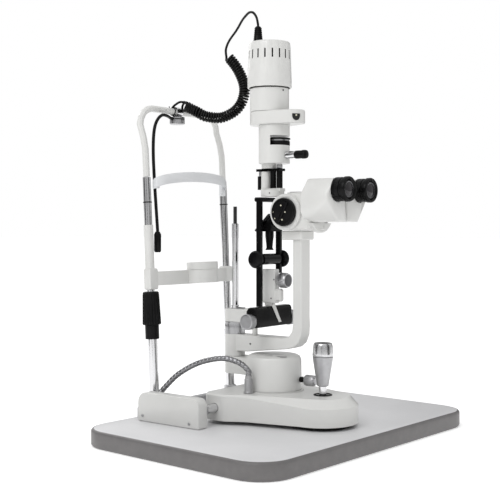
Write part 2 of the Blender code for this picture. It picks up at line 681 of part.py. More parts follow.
# ---------------------------------------------------------------- illumination
def illumination_arm():
    swing = (0, PIVOT_Y, above(RING_TOP + GAP))
    half = HUB_R
    arm = prism(
        "illumination_arm",
        [*arc((0, PIVOT_Y), half, 0, 180, 14), (-half, 41), (half, 41)],
        above(RING_TOP + GAP), above(LAMP_ARM_TOP), "Z", swing,
    )
    rounded(arm, 1.5, 1)
    tongue_side = [(44, 186.5), *arc((LAMP_Y, TILT_H), 8, 90, 270, 8), (44, 170.5)]
    tongue = prism("t", [(y, above(h)) for y, h in tongue_side], -12, 12, "X")
    step = box("u", (-12, 42, above(168.5)), (12, 60, above(180)))
    bore = pin("b", PIVOT_BORE, above(160), above(210), (0, PIVOT_Y, 0))
    shaft = pin("s", 5.4, -30, 30, (0, LAMP_Y, above(TILT_H)), "X", steps=20)
    finish(cut(add(arm, tongue, step), bore, shaft), white_paint())
    rod = [(0, 190.4), (7.3, 190.4), (7.3, 200), (6.2, 201), (6.2, 352), (3.4, 353), (3.4, 384), (0, 384)]
    finish(turned("focus_rod", [(r, above(h)) for r, h in rod], (0, PIVOT_Y, 0), steps=20), chrome())


def tilt_block():
    """The block that tilts the lamp about the shaft, with the slit box and its knobs on it."""
    tilt = (0, LAMP_Y, above(TILT_H))
    side = [(15.5, 167), (40, 169), (38, 196), (33, 203), (20, 203), (16, 199)]
    block = prism("tilt_block", [(y, above(h)) for y, h in side], -TILT_HALF, TILT_HALF, "X", tilt)
    rounded(block, 1.5, 1)
    slot = box("s", (-12.4, 18.2, above(160)), (12.4, 45, above(190.5)))
    bore = pin("b", 5.4, -80, 80, tilt, "X", steps=20)
    finish(cut(block, slot, bore), black_gloss())
    shaft = [(0, -KNOB_OUT), (KNOB_R - 1, -KNOB_OUT), (KNOB_R, -KNOB_OUT + 1), (KNOB_R, -TILT_HALF - GAP),
             (5, -TILT_HALF - GAP), (5, TILT_HALF + GAP), (KNOB_R, TILT_HALF + GAP), (KNOB_R, KNOB_OUT - 1),
             (KNOB_R - 1, KNOB_OUT), (0, KNOB_OUT)]
    finish(turned("tilt_lock_shaft", shaft, tilt, "X"), satin_silver())
    slit = rounded(box("slit_box", (-7, 10, above(209)), (7, 38, above(270)), tilt), 1, 1)
    foot = box("f", (-5, 18, above(203.3)), (5, 34, above(212)))
    boss = rounded(box("o", (-6, -2, above(212)), (6, 14, above(235))), 3, 1)
    finish(add(slit, foot, boss), white_paint())
    centre = (0, 0, above(250.4))
    knob = [(0, 9.6), (4, 9.6), (4, 6), (13.6, 5), (13.6, -11), (12.2, -14.6), (0, -14.6)]
    finish(turned("centering_knob", knob, centre, "Y", steps=24), satin_silver())
    slit_centre = (0, LAMP_Y + 1, above(SLIT_KNOB_H))
    half = [(10, 24.6), (4.5, 25.4), (4.5, 33.4), (11, 33.8), (SLIT_KNOB_R, 37.5), (SLIT_KNOB_R, 41), (13, 45),
            (8, SLIT_KNOB_OUT)]
    profile = [(0, -SLIT_KNOB_OUT), *((r, -x) for r, x in reversed(half)), *half, (0, SLIT_KNOB_OUT)]
    finish(turned("slit_width_knob", profile, slit_centre, "X"), black_gloss())


def yoke():
    tilt = (0, LAMP_Y, above(TILT_H))
    inner, outer = YOKE_X - 3, YOKE_X + 3
    made = box("yoke", (-outer, 20, above(YOKE_TOP - 8)), (outer, 38, above(YOKE_TOP)), tilt)
    rounded(made, 2, 1)
    y0, y1 = LAMP_Y - 4.5, LAMP_Y + 5.5
    left = box("l", (-outer, y0, above(203.4)), (-inner, y1, above(YOKE_TOP - 3)))
    right = box("r", (inner, y0, above(262)), (outer, y1, above(YOKE_TOP - 3)))
    holes = pin("h", 5, -60, 60, (0, LAMP_Y + 1, above(SLIT_KNOB_H)), "X", steps=16)
    finish(cut(add(made, left, right), holes), black_gloss())
    mount_side = [(11, 338), (40, 338), (11, 366)]
    mount = prism("mirror_mount", [(y, above(h)) for y, h in mount_side], -17, 17, "X", tilt)
    stem = [(7.7, 304.4), (5.5, 309), (7.7, 330), (7.7, 340)]
    neck = turned("n", [(0, above(304.4)), *((r, above(h)) for r, h in stem), (0, above(340))], (0, LAMP_Y, 0), steps=20)
    finish(add(mount, neck), black_gloss())
    mirror = [(10.9, 367.2), (41.2, 337.9), (43.5, 340.2), (13.2, 369.5)]
    finish(prism("mirror", [(y, above(h)) for y, h in mirror], -23, 23, "X", tilt), glass())


def lamp_head():
    tilt = (0, LAMP_Y, above(STEM_LOW))
    ring = pin("lamp_stem", 21.2, above(STEM_LOW), above(412.7), (0, 20.2, 0), pivot=tilt, steps=32)
    plate = box("p", (-8, -2, above(410)), (8, 40.5, above(415.4)))
    column = pin("c", 8.8, above(411), above(445.9), (0, 34.8, 0), steps=24)
    finish(add(ring, plate, column), white_paint())
    cross = box("cross_plate", (-9, -1.2, above(446.3)), (9, 50.5, above(450.8)), tilt)
    tubes = [
        pin("t", radius, above(low), above(high), (0, y, 0), steps=16)
        for y, radius, low, high in ((48.8, 4, 413.5, 438), (47.4, 2.5, 437, 448), (18.6, 5.6, 415.8, 448),
                                     (4.6, 5.6, 415.8, 448))
    ]
    finish(add(cross, *tubes), black_gloss())
    head = (0, LAMP_Y, above(451))
    neck = pin("k", 13.5, above(451.2), above(HOUSING_LOW + 2), (0, 28.0, 0), steps=24)
    lower = pin("lower_housing", HOUSING_R, above(HOUSING_LOW), above(HOUSING_TOP), (0, HOUSING_Y, 0), pivot=head,
                steps=36)
    window = box("w", (-8, -40, above(492)), (40, 40, above(509)))
    window.data.transform(Matrix.Rotation(WINDOW_TURN, 4, "Z"))
    window.location = mm(0, HOUSING_Y, 0)
    pocket = pin("q", 22.4, above(492), above(509), (*WHEEL_AT, 0), steps=36)
    finish(cut(cut(add(lower, neck), window), pocket), white_paint())
    wheel = [(0, 492.6), (20.8, 492.6), (20.8, 500), (16, 500.6), (16, 503), (21.5, 503.4), (21.5, 506), (0, 506)]
    finish(turned("filter_wheel", [(r, above(h)) for r, h in wheel], (*WHEEL_AT, 0)), black_gloss())
    lever = [(0, -11.9), (7.4, -11.9), (5.9, -35), (6.8, -36), (7.8, -50), (7.2, -53.6), (5, -55), (0, -55)]
    finish(turned("rotation_lever", lever, (0, 0, above(474)), "Y", pivot=head, steps=20), black_gloss())
    collar_outline = [*arc((0, LAMP_Y), LAMP_R, -20, 200, 18), *arc((0, -24), 22, 190, 350, 10)]
    collar = prism("aperture_collar", collar_outline, above(HOUSING_TOP + GAP), above(COLLAR_TOP - GAP), "Z", head)
    finish(rounded(collar, 1.5, 1), white_paint())
    body = [(0, COLLAR_TOP), (LAMP_R, COLLAR_TOP), (LAMP_R, BODY_TOP - 1), (LAMP_R - 4, BODY_TOP), (8, BODY_TOP),
            (8, BODY_TOP - 12), (0, BODY_TOP - 12)]
    finish(turned("lamp_body", [(r, above(h)) for r, h in body], (0, LAMP_Y, 0), pivot=head, steps=36), white_paint())
    low = BODY_TOP + 1.2
    cap = [(CAP_R - 0.6, low), (CAP_R, low + 1), (CAP_R, 640), (37.9, 673), (35.5, CAP_TOP), (0, CAP_TOP),
           (0, CAP_TOP - 3), (33, CAP_TOP - 3), (35, 668.5), (CAP_R - 3, 640), (CAP_R - 3, low)]
    shell = turned("lamp_cap", [(r, above(h)) for r, h in cap], (0, LAMP_Y, 0), pivot=head, steps=40)
    slots = []
    for turn in (-150, -120, -60, -30, 30, 60, 120, 150, 180):
        slot = box("s", (30, -0.8, above(646.5)), (45, 0.8, above(662.5)))
        slot.data.transform(Matrix.Rotation(math.radians(turn), 4, "Z"))
        slot.location = mm(0, LAMP_Y, 0)
        slots.append(slot)
    one = slots[0]
    for other in slots[1:]:
        joined = bmesh.new()
        joined.from_mesh(one.data)
        joined.from_mesh(other.data)
        joined.to_mesh(one.data)
        joined.free()
        bpy.data.objects.remove(other)
    finish(cut(shell, one), white_paint())
    bulb = [(0, BODY_TOP - 11), (7, BODY_TOP - 11), (7, BODY_TOP + 18), (10, BODY_TOP + 26), (10, BODY_TOP + 38),
            (6, BODY_TOP + 46), (0, BODY_TOP + 47)]
    finish(turned("bulb", [(r, above(h)) for r, h in bulb], (0, LAMP_Y, 0), pivot=head, steps=16), glass())
    plug = [(0, CAP_TOP + GAP), (8.4, CAP_TOP + GAP), (8.4, 687), (7, 689), (6.4, 706), (5, PLUG_TOP), (0, PLUG_TOP)]
    finish(turned("plug", [(r, above(h)) for r, h in plug], (0, PLUG_Y, 0), pivot=head, steps=16), black_gloss())


# ---------------------------------------------------------------- cords
def cords():
    coil = [
        (-9, 226, 578), (0, 224, 577), (9, 217, 572), (13, 207, 566.5), (18.6, 197, 560), (26, 184, 557), (34, 170, 556), (42, 156.5, 561),
        (49, 143, 570.5), (53, 132.5, 585), (56.5, 128.5, 604.5), (57, 131.7, 624), (53.7, 141.5, 647), (49, 152, 663.5),
    ]
    tube("curly_cord", smooth_route([(x, y, above(h)) for x, y, h in coil], 14), 10.8, black_gloss(), 2)
    lead = [
        (45.6, 158, 671.5), (41.5, 160.5, 677.5), (37.5, 158.5, 687), (32.5, 147, 700), (22.8, 120, 717), (10.7, 96, 731.5),
        (1.1, 72.4, 739.4), (-0.9, 59.9, 733.8), (-0.4, 54.3, 722), (0, PLUG_Y, PLUG_TOP + GAP),
    ]
    tube("cord_lead", smooth_route([(x, y, above(h)) for x, y, h in lead], 7), 2.1, black_gloss(), 1)
    x, y = CONNECTOR
    hose = [
        (-133, 181, 43), (-126, 181, 45), (-117, 171, 60), (-109, 156, 77), (-101, 139, 90), (-93, 119, 101),
        (-86, 98, 108), (-79, 75, 112), (-73, 55, 110), (-67, 38, 103), (x, y, 92), (x, y, 84 + GAP),
    ]
    tube("hose", smooth_route([(u, v, above(h)) for u, v, h in hose], 9), 5.0, satin_silver(), 2)


def build():
    for left_over in list(bpy.data.objects):
        bpy.data.objects.remove(left_over)
    table()
    for side, name in ((-1, "left"), (1, "right")):
        rail(side, name)
    headrest_frame()
    forehead_band()
    fixation_light()
    chin_rest()
    carriage()
    base()
    joystick()
    turret()
    microscope_arm()
    microscope()
    illumination_arm()
    tilt_block()
    yoke()
    lamp_head()
    cords()


build()
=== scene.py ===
"""Looks of the slit lamp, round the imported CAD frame.

Sizes are in millimetres unless a name says otherwise; H(h) turns a height over
the table's surface into a height over the origin.
"""

import json
import math

import bmesh
import bpy
from mathutils import Matrix, Vector

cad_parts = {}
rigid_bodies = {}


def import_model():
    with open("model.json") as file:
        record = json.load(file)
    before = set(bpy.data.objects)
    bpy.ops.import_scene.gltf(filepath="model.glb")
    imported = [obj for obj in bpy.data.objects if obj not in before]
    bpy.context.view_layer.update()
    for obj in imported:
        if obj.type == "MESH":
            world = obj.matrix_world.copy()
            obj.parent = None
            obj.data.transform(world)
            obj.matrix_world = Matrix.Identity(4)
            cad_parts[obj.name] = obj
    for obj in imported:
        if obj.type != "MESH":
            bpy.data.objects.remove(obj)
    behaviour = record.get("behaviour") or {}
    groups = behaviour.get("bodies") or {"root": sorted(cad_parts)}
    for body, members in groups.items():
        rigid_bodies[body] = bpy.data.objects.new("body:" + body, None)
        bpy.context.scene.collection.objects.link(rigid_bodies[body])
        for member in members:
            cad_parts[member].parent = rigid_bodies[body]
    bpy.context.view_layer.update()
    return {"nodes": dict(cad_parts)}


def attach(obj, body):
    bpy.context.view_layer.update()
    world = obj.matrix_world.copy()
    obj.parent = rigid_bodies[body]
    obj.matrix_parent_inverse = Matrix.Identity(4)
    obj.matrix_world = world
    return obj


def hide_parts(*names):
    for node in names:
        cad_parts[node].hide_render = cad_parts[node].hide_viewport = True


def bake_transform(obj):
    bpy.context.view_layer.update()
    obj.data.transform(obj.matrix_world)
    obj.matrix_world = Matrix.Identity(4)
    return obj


for left_over in list(bpy.data.objects):
    bpy.data.objects.remove(left_over)
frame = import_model()

TOP = 30.0                      # thickness of the table top
LEAN = 0.047                    # radians that the headrest leans towards the patient
POST_X, POST_Y, POST_FOOT = 111.0, 207.0, 21.0
LAMP_Y, PIVOT_Y = 27.0, 106.4    # axes of the lamp head and of the two swinging arms
JOYSTICK_Y, PLUG_Y = -88.7, 53.0
OPTIC_H = 372.0                 # height of the microscope's objective
EYE_X, EYE_H = 35.0, 409.0
ROD_PAINT_FROM = 352.5          # height from which the focusing rod is black
SIDES = ((-1, "left"), (1, "right"))


def H(h):
    return TOP + h


# ---------------------------------------------------------------- camera, floor and light, in metres
FLOOR_REACH, CARD_TALL = 30.0, 1.7
CARDS = (                       # name, place on the floor, width
    ("card_left", (-1.2, 1.1), 0.8),
    ("card_right", (0.25, -1.5), 0.8),
    ("card_far", (1.5, 0.2), 0.7),
    ("card_front", (-1.9, -0.75), 0.28),
)


def look(obj, target):
    obj.rotation_euler = (Vector(target) - obj.location).to_track_quat("-Z", "Y").to_euler()


def make_camera():
    data = bpy.data.cameras.new("camera")
    camera = bpy.data.objects.new("camera", data)
    bpy.context.scene.collection.objects.link(camera)
    camera.location = (-1.4313, -1.0307, 0.3732)
    look(camera, (-0.0145, 0.0604, 0.3389))
    data.sensor_width = 36.0
    data.lens = 70.76
    data.shift_y = -0.0052
    data.clip_end = 50
    bpy.context.scene.camera = camera


def area_light(name, place, target, size, power):
    data = bpy.data.lights.new(name, "AREA")
    data.shape = "RECTANGLE"
    data.size, data.size_y = size
    data.energy = power
    light = bpy.data.objects.new(name, data)
    light.location = place
    bpy.context.scene.collection.objects.link(light)
    look(light, target)


def make_world():
    """Pure white as the backdrop. The light that falls on things comes more from above than from the horizon."""
    world = bpy.data.worlds.new("studio")
    bpy.context.scene.world = world
    world.use_nodes = True
    tree = world.node_tree
    where, apart = tree.nodes.new("ShaderNodeTexCoord"), tree.nodes.new("ShaderNodeSeparateXYZ")
    height, mix = tree.nodes.new("ShaderNodeMapRange"), tree.nodes.new("ShaderNodeMix")
    height.inputs["From Min"].default_value = -0.1
    seen = tree.nodes.new("ShaderNodeLightPath")
    mix.data_type = "RGBA"
    mix.inputs["B"].default_value = (1, 1, 1, 1)
    tree.links.new(where.outputs["Generated"], apart.inputs["Vector"])
    tree.links.new(apart.outputs["Z"], height.inputs["Value"])
    tree.links.new(ramp(tree, height.outputs["Result"], [(0.0, 0.42), (0.9, 0.95)]), mix.inputs["A"])
    tree.links.new(seen.outputs["Is Camera Ray"], mix.inputs["Factor"])
    tree.links.new(mix.outputs["Result"], tree.nodes["Background"].inputs["Color"])


def sheet(name, corners, mat):
    mesh = bpy.data.meshes.new(name)
    mesh.from_pydata(corners, [], [(0, 1, 2, 3)])
    mesh.materials.append(mat)
    made = bpy.data.objects.new(name, mesh)
    bpy.context.scene.collection.objects.link(made)
    return made


def make_floor():
    corners = [(x * FLOOR_REACH, y * FLOOR_REACH, 0) for x, y in ((-1, -1), (1, -1), (1, 1), (-1, 1))]
    mat = nodes_of("floor_white", 0.9, colour=(0.93, 0.93, 0.93), Specular_IOR_Level=0.1,
                   Emission_Color=(1, 1, 1, 1), Emission_Strength=0.36)[0]
    sheet("floor", corners, mat)


def make_cards():
    """Dark cards outside the view, which give the chrome and the black gloss something to reflect."""
    mat = nodes_of("card_dark", 1.0, colour=(0.015, 0.015, 0.015))[0]
    for name, (x, y), wide in CARDS:
        half = wide / 2
        card = sheet(name, [(-half, 0, 0), (half, 0, 0), (half, 0, CARD_TALL), (-half, 0, CARD_TALL)], mat)
        card.location = (x, y, 0)
        card.rotation_euler = (0, 0, math.atan2(y, x) + math.pi / 2)
        card.visible_camera = False
        card.visible_diffuse = False
        card.visible_shadow = False


def make_stage():
    bpy.context.scene.view_settings.view_transform = "Standard"
    make_world()
    make_floor()
    make_cards()
    area_light("key", (-1.9, -0.1, 1.9), (0, 0.03, 0.35), (1.2, 1.2), 17)
    area_light("rim", (0.6, 1.9, 1.5), (0, 0.03, 0.4), (1.0, 1.0), 6)


# ---------------------------------------------------------------- materials
def nodes_of(name, roughness, metallic=0.0, colour=(0.8, 0.8, 0.8), coat=0.0, **sockets):
    """A material of one shader, with its node tree and the shader. A socket's name has _ for each space."""
    mat = bpy.data.materials.new(name)
    mat.use_nodes = True
    tree = mat.node_tree
    shader = tree.nodes["Principled BSDF"]
    shader.inputs["Base Color"].default_value = (*colour, 1)
    shader.inputs["Roughness"].default_value = roughness
    shader.inputs["Metallic"].default_value = metallic
    shader.inputs["Coat Weight"].default_value = coat
    for socket, value in sockets.items():
        shader.inputs[socket.replace("_", " ")].default_value = value
    return mat, tree, shader


def noise(tree, scale, detail=3.0):
    where = tree.nodes.new("ShaderNodeTexCoord")
    made = tree.nodes.new("ShaderNodeTexNoise")
    made.inputs["Scale"].default_value = scale
    made.inputs["Detail"].default_value = detail
    tree.links.new(where.outputs["Object"], made.inputs["Vector"])
    return made.outputs["Fac"]


def ramp(tree, factor, stops):
    made = tree.nodes.new("ShaderNodeValToRGB")
    tree.links.new(factor, made.inputs["Fac"])
    elements = made.color_ramp.elements
    for i, (place, value) in enumerate(stops):
        element = elements[i] if i < 2 else elements.new(place)
        element.position = place
        element.color = (*value, 1) if isinstance(value, tuple) else (value, value, value, 1)
    return made.outputs["Color"]


def bump(tree, shader, height, strength, distance):
    made = tree.nodes.new("ShaderNodeBump")
    made.inputs["Strength"].default_value = strength
    made.inputs["Distance"].default_value = distance
    tree.links.new(height, made.inputs["Height"])
    tree.links.new(made.outputs["Normal"], shader.inputs["Normal"])


def above(tree, height_m):
    """A factor that is 1 on the surface over this height and 0 under it."""
    where, apart = tree.nodes.new("ShaderNodeTexCoord"), tree.nodes.new("ShaderNodeSeparateXYZ")
    found = tree.nodes.new("ShaderNodeMath")
    found.operation = "GREATER_THAN"
    found.inputs[1].default_value = height_m
    tree.links.new(where.outputs["Object"], apart.inputs["Vector"])
    tree.links.new(apart.outputs["Z"], found.inputs[0])
    return found.outputs["Value"]


def shaded(name, light, dark, roughness, spread, scale=60, grain=700, depth=0.00004, strength=0.25, metallic=0.0,
           coat=0.0, **sockets):
    """A material whose colour and gloss drift a little over the surface, with a fine grain in its bump.

    spread is how far the roughness drifts either way; scale is the drift's and grain the bump's, and depth the
    bump's in metres.
    """
    mat, tree, shader = nodes_of(name, roughness, metallic, light, coat, **sockets)
    drift = noise(tree, scale, 4.0)
    tree.links.new(ramp(tree, drift, [(0.3, dark), (0.7, light)]), shader.inputs["Base Color"])
    tree.links.new(
        ramp(tree, drift, [(0.25, roughness - spread), (0.75, roughness + spread)]), shader.inputs["Roughness"]
    )
    bump(tree, shader, noise(tree, grain, 2.0), strength, depth)
    return mat


LAMINATE_OVER_M = 0.02995


def laminate_material():
    """Grey laminate on the flat top, and a darker band from where the edge starts to round."""
    mat, tree, shader = nodes_of("grey_laminate", 0.42, 0.0, (0.62, 0.62, 0.625))
    cloud = ramp(tree, noise(tree, 9, 3.0), [(0.3, (0.62, 0.62, 0.63)), (0.7, (0.70, 0.70, 0.71))])
    speckle = ramp(tree, noise(tree, 1400, 2.0), [(0.35, (0.57, 0.57, 0.58)), (0.65, (0.73, 0.73, 0.74))])
    band = ramp(tree, noise(tree, 60, 3.0), [(0.3, (0.125, 0.120, 0.120)), (0.7, (0.145, 0.139, 0.138))])
    top, both = tree.nodes.new("ShaderNodeMix"), tree.nodes.new("ShaderNodeMix")
    top.data_type = both.data_type = "RGBA"
    top.inputs["Factor"].default_value = 0.65
    tree.links.new(speckle, top.inputs["A"])
    tree.links.new(cloud, top.inputs["B"])
    tree.links.new(above(tree, LAMINATE_OVER_M), both.inputs["Factor"])
    tree.links.new(band, both.inputs["A"])
    tree.links.new(top.outputs["Result"], both.inputs["B"])
    tree.links.new(both.outputs["Result"], shader.inputs["Base Color"])
    bump(tree, shader, noise(tree, 900, 2.0), 0.2, 0.00006)
    return mat


def two_tone(name, base, other_colour, other_roughness, split_m):
    """A copy of a metal whose part above a height is painted."""
    mat = base.copy()
    mat.name = name
    tree = mat.node_tree
    shader = tree.nodes["Principled BSDF"]
    painted = tree.nodes.new("ShaderNodeBsdfPrincipled")
    painted.inputs["Base Color"].default_value = (*other_colour, 1)
    painted.inputs["Roughness"].default_value = other_roughness
    mix = tree.nodes.new("ShaderNodeMixShader")
    tree.links.new(above(tree, split_m), mix.inputs["Fac"])
    tree.links.new(shader.outputs["BSDF"], mix.inputs[1])
    tree.links.new(painted.outputs["BSDF"], mix.inputs[2])
    tree.links.new(mix.outputs["Shader"], tree.nodes["Material Output"].inputs["Surface"])
    return mat


WHITE = shaded(
    "white_enamel", (0.655, 0.655, 0.64), (0.625, 0.625, 0.61), roughness=0.32, spread=0.03, scale=22, grain=900,
    depth=0.000003, strength=0.1, coat=0.12, Coat_Roughness=0.12,
)
BLACK = shaded(
    "black_enamel", (0.006, 0.006, 0.0065), (0.003, 0.003, 0.003), roughness=0.2, spread=0.06, scale=40, grain=500,
    depth=0.00004, strength=0.15, Specular_IOR_Level=0.12,
)
PLASTIC = shaded(
    "black_plastic", (0.007, 0.007, 0.0075), (0.004, 0.004, 0.004), roughness=0.36, spread=0.06, scale=60, grain=1500,
    depth=0.00005, strength=0.3, Specular_IOR_Level=0.12,
)
RUBBER = shaded(
    "cord_sheath", (0.005, 0.005, 0.005), (0.003, 0.003, 0.003), roughness=0.3, spread=0.06, scale=90, grain=1800,
    depth=0.00004, strength=0.3, Specular_IOR_Level=0.16,
)
CHROME = shaded(
    "polished_chrome", (0.70, 0.70, 0.71), (0.66, 0.66, 0.67), roughness=0.13, spread=0.02, scale=30, grain=300,
    depth=0.0000004, strength=0.05, metallic=1.0,
)
BRIGHT = shaded(
    "bright_silver", (0.66, 0.66, 0.67), (0.60, 0.60, 0.61), roughness=0.24, spread=0.03, scale=90, grain=1400,
    depth=0.00001, strength=0.15, metallic=1.0,
)
ZINC = shaded(
    "zinc_grey", (0.40, 0.40, 0.405), (0.35, 0.35, 0.355), roughness=0.45, spread=0.05, scale=90, grain=1200,
    depth=0.00003, strength=0.25, metallic=0.5,
)
SATIN = shaded(
    "satin_silver", (0.46, 0.46, 0.47), (0.40, 0.40, 0.41), roughness=0.34, spread=0.04, scale=120, grain=1400,
    depth=0.00003, strength=0.2, metallic=1.0,
)
HOSE_METAL = shaded(
    "hose_metal", (0.34, 0.34, 0.35), (0.24, 0.24, 0.25), roughness=0.28, spread=0.04, scale=90, grain=900,
    depth=0.00003, strength=0.2, metallic=1.0,
)
DARK_STEEL = shaded(
    "dark_steel", (0.13, 0.13, 0.135), (0.09, 0.09, 0.095), roughness=0.34, spread=0.05, scale=90, grain=1400,
    depth=0.00003, strength=0.2, metallic=1.0,
)
MILKY = shaded(
    "milky_plastic", (0.72, 0.73, 0.745), (0.68, 0.69, 0.705), roughness=0.35, spread=0.06, scale=30, grain=900,
    depth=0.00004, strength=0.2, Transmission_Weight=0.06,
)
LAMINATE = laminate_material()
GLASS = shaded(
    "coated_glass", (0.012, 0.010, 0.012), (0.008, 0.006, 0.009), roughness=0.06, spread=0.02, scale=20, grain=100,
    depth=0.000001, strength=0.05, Specular_IOR_Level=0.4,
)
MIRROR = shaded(
    "mirror_face", (0.80, 0.81, 0.82), (0.76, 0.77, 0.78), roughness=0.04, spread=0.01, scale=20, grain=100,
    depth=0.000001, strength=0.05, metallic=1.0,
)
BULB = shaded(
    "bulb_glass", (0.85, 0.87, 0.88), (0.80, 0.82, 0.84), roughness=0.08, spread=0.02, scale=20, grain=100,
    depth=0.000001, strength=0.05, Transmission_Weight=0.7,
)
MARK = shaded(
    "pale_marking", (0.62, 0.60, 0.48), (0.55, 0.53, 0.42), roughness=0.5, spread=0.05,
)
# Near-black: the own colour of printed marks, dark bands and the aperture window, and also painted shade inside the
# lamp cap's slots.
DARK_MARKS_AND_PAINTED_SHADE = shaded(
    "dark_marks_and_painted_shade", (0.006, 0.006, 0.006), (0.004, 0.004, 0.004), roughness=0.7, spread=0.05,
)


# ---------------------------------------------------------------- building
AXES = {"X": (1, 2, 0), "Y": (2, 0, 1), "Z": (0, 1, 2)}


def made_of(bm, name, body, mat, angle=35):
    """The finished piece: in metres, shaded, with its material and body."""
    bmesh.ops.recalc_face_normals(bm, faces=bm.faces)
    bmesh.ops.scale(bm, vec=(0.001, 0.001, 0.001), verts=bm.verts)
    mesh = bpy.data.meshes.new(name)
    bm.to_mesh(mesh)
    bm.free()
    for one in mat if isinstance(mat, (list, tuple)) else [mat]:
        mesh.materials.append(one)
    mesh.shade_smooth()
    mesh.set_sharp_from_angle(angle=math.radians(angle))
    made = bpy.data.objects.new(name, mesh)
    bpy.context.scene.collection.objects.link(made)
    if body:
        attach(made, body)
    return made


def lathe_into(bm, profile, centre, axis="Z", steps=48, ridge=None, transform=None):
    """Turns (radius, along) points round the axis. ridge(turn, index) scales the radius there."""
    rings = []
    centre = Vector(centre)
    iu, iv, iw = AXES[axis]
    for index, (radius, along) in enumerate(profile):
        ring = []
        for i in range(steps if radius > 0 else 1):
            turn = 2 * math.pi * i / steps
            r = radius * (ridge(turn, index) if ridge else 1.0)
            point = [0.0, 0.0, 0.0]
            point[iu], point[iv], point[iw] = r * math.cos(turn), r * math.sin(turn), along
            place = Vector(point) + centre
            ring.append(bm.verts.new(transform @ place if transform else place))
        rings.append(ring)
    for one, other in zip(rings, rings[1:] + rings[:1]):
        if len(one) == len(other) == 1:
            continue
        for i in range(steps):
            j = (i + 1) % steps
            corners = [one[i % len(one)], one[j % len(one)], other[j % len(other)], other[i % len(other)]]
            bm.faces.new(dict.fromkeys(corners))


def lathe(name, profile, centre, axis, body, mat, steps=48, ridge=None, transform=None, angle=35):
    bm = bmesh.new()
    lathe_into(bm, profile, centre, axis, steps, ridge, transform)
    return made_of(bm, name, body, mat, angle)


def at_heights(profile):
    """The profile with its heights over the table's surface turned into heights over the origin."""
    return [(r, H(h)) for r, h in profile]


def both_ways(half):
    """The profile of a shaft with the same end on both sides."""
    return [(r, -x) for r, x in reversed(half)] + half


def fluted(count, depth, rings):
    """A ridge function: flutes as deep as this share of the radius, on the profile points listed."""
    def scale(turn, index):
        if index not in rings:
            return 1.0
        wave = 0.5 + 0.5 * math.cos(count * turn)
        return 1.0 - depth * wave
    return scale


def box_into(bm, low, high, transform=None):
    corners = [
        bm.verts.new(Vector((x, y, z)))
        for x in (low[0], high[0]) for y in (low[1], high[1]) for z in (low[2], high[2])
    ]
    for quad in ((0, 1, 3, 2), (4, 6, 7, 5), (0, 4, 5, 1), (2, 3, 7, 6), (0, 2, 6, 4), (1, 5, 7, 3)):
        bm.faces.new([corners[i] for i in quad])
    if transform:
        bmesh.ops.transform(bm, matrix=transform, verts=corners)
    return corners


def block(name, low, high, body, mat, bevel=0.5, transform=None):
    bm = bmesh.new()
    corners = box_into(bm, low, high)
    edges = list({e for v in corners for e in v.link_edges})
    bmesh.ops.bevel(bm, geom=edges, offset=bevel, segments=2, affect="EDGES", profile=0.5)
    if transform:
        bmesh.ops.transform(bm, matrix=transform, verts=bm.verts)
    return made_of(bm, name, body, mat)


def frames_along(path):
    """Points with a pair of directions across the path at each, turned as little as possible."""
    path = [Vector(p) for p in path]
    across = Vector((0.3, 0.2, 1.0))
    found = []
    for i, place in enumerate(path):
        along = (path[min(i + 1, len(path) - 1)] - path[max(i - 1, 0)]).normalized()
        across = (across - along * across.dot(along)).normalized()
        found.append((place, across.copy(), along.cross(across)))
    return found


def skin(bm, rings):
    """Faces from each ring of points to the next, and over the first and the last."""
    for one, other in zip(rings, rings[1:]):
        for i in range(len(one)):
            j = (i + 1) % len(one)
            bm.faces.new((one[i], one[j], other[j], other[i]))
    bm.faces.new(rings[0])
    bm.faces.new(list(reversed(rings[-1])))


def sweep_into(bm, path, radius, sides=10):
    """A round tube along the path. radius is a number or a list, one for each point."""
    rings = []
    for i, (place, across, up) in enumerate(frames_along(path)):
        r = radius[i] if isinstance(radius, list) else radius
        rings.append([
            bm.verts.new(place + r * (across * math.cos(a) + up * math.sin(a)))
            for a in (2 * math.pi * k / sides for k in range(sides))
        ])
    skin(bm, rings)


def sweep(name, path, radius, body, mat, sides=10):
    bm = bmesh.new()
    sweep_into(bm, path, radius, sides)
    return made_of(bm, name, body, mat, 50)


def route(points, spacing):
    """The Catmull-Rom curve through points (x, y, height over the table), in X, Y, Z."""
    line = [Vector((x, y, H(h))) for x, y, h in points]
    ends = [2 * line[0] - line[1], *line, 2 * line[-1] - line[-2]]
    found = []
    for before, here, there, after in zip(ends, ends[1:], ends[2:], ends[3:]):
        steps = max(1, round((there - here).length / spacing))
        for i in range(steps):
            t = i / steps
            found.append(
                0.5 * (2 * here + (there - before) * t
                       + (2 * before - 5 * here + 4 * there - after) * t ** 2
                       + (3 * here - before - 3 * there + after) * t ** 3)
            )
    return found + [line[-1]]


def screw(name, place, axis, side, radius, body, mat=DARK_STEEL, head=0.9):
    """A small socket screw, its head standing out to one side along the axis."""
    base = -0.6 * side
    profile = [
        (0, base), (radius, base), (radius, head * 0.75 * side), (radius * 0.86, head * side),
        (radius * 0.5, head * side), (radius * 0.46, head * 0.1 * side), (0, head * 0.1 * side),
    ]
    lathe(name, profile, place, axis, body, mat, 24)


def leaning():
    """Transform that takes an upright post's axis to the leaning one, for a piece made round POST_Y."""
    foot = Vector((0, POST_Y, H(POST_FOOT)))
    return Matrix.Translation(foot) @ Matrix.Rotation(-LEAN, 4, "X") @ Matrix.Translation(-foot)


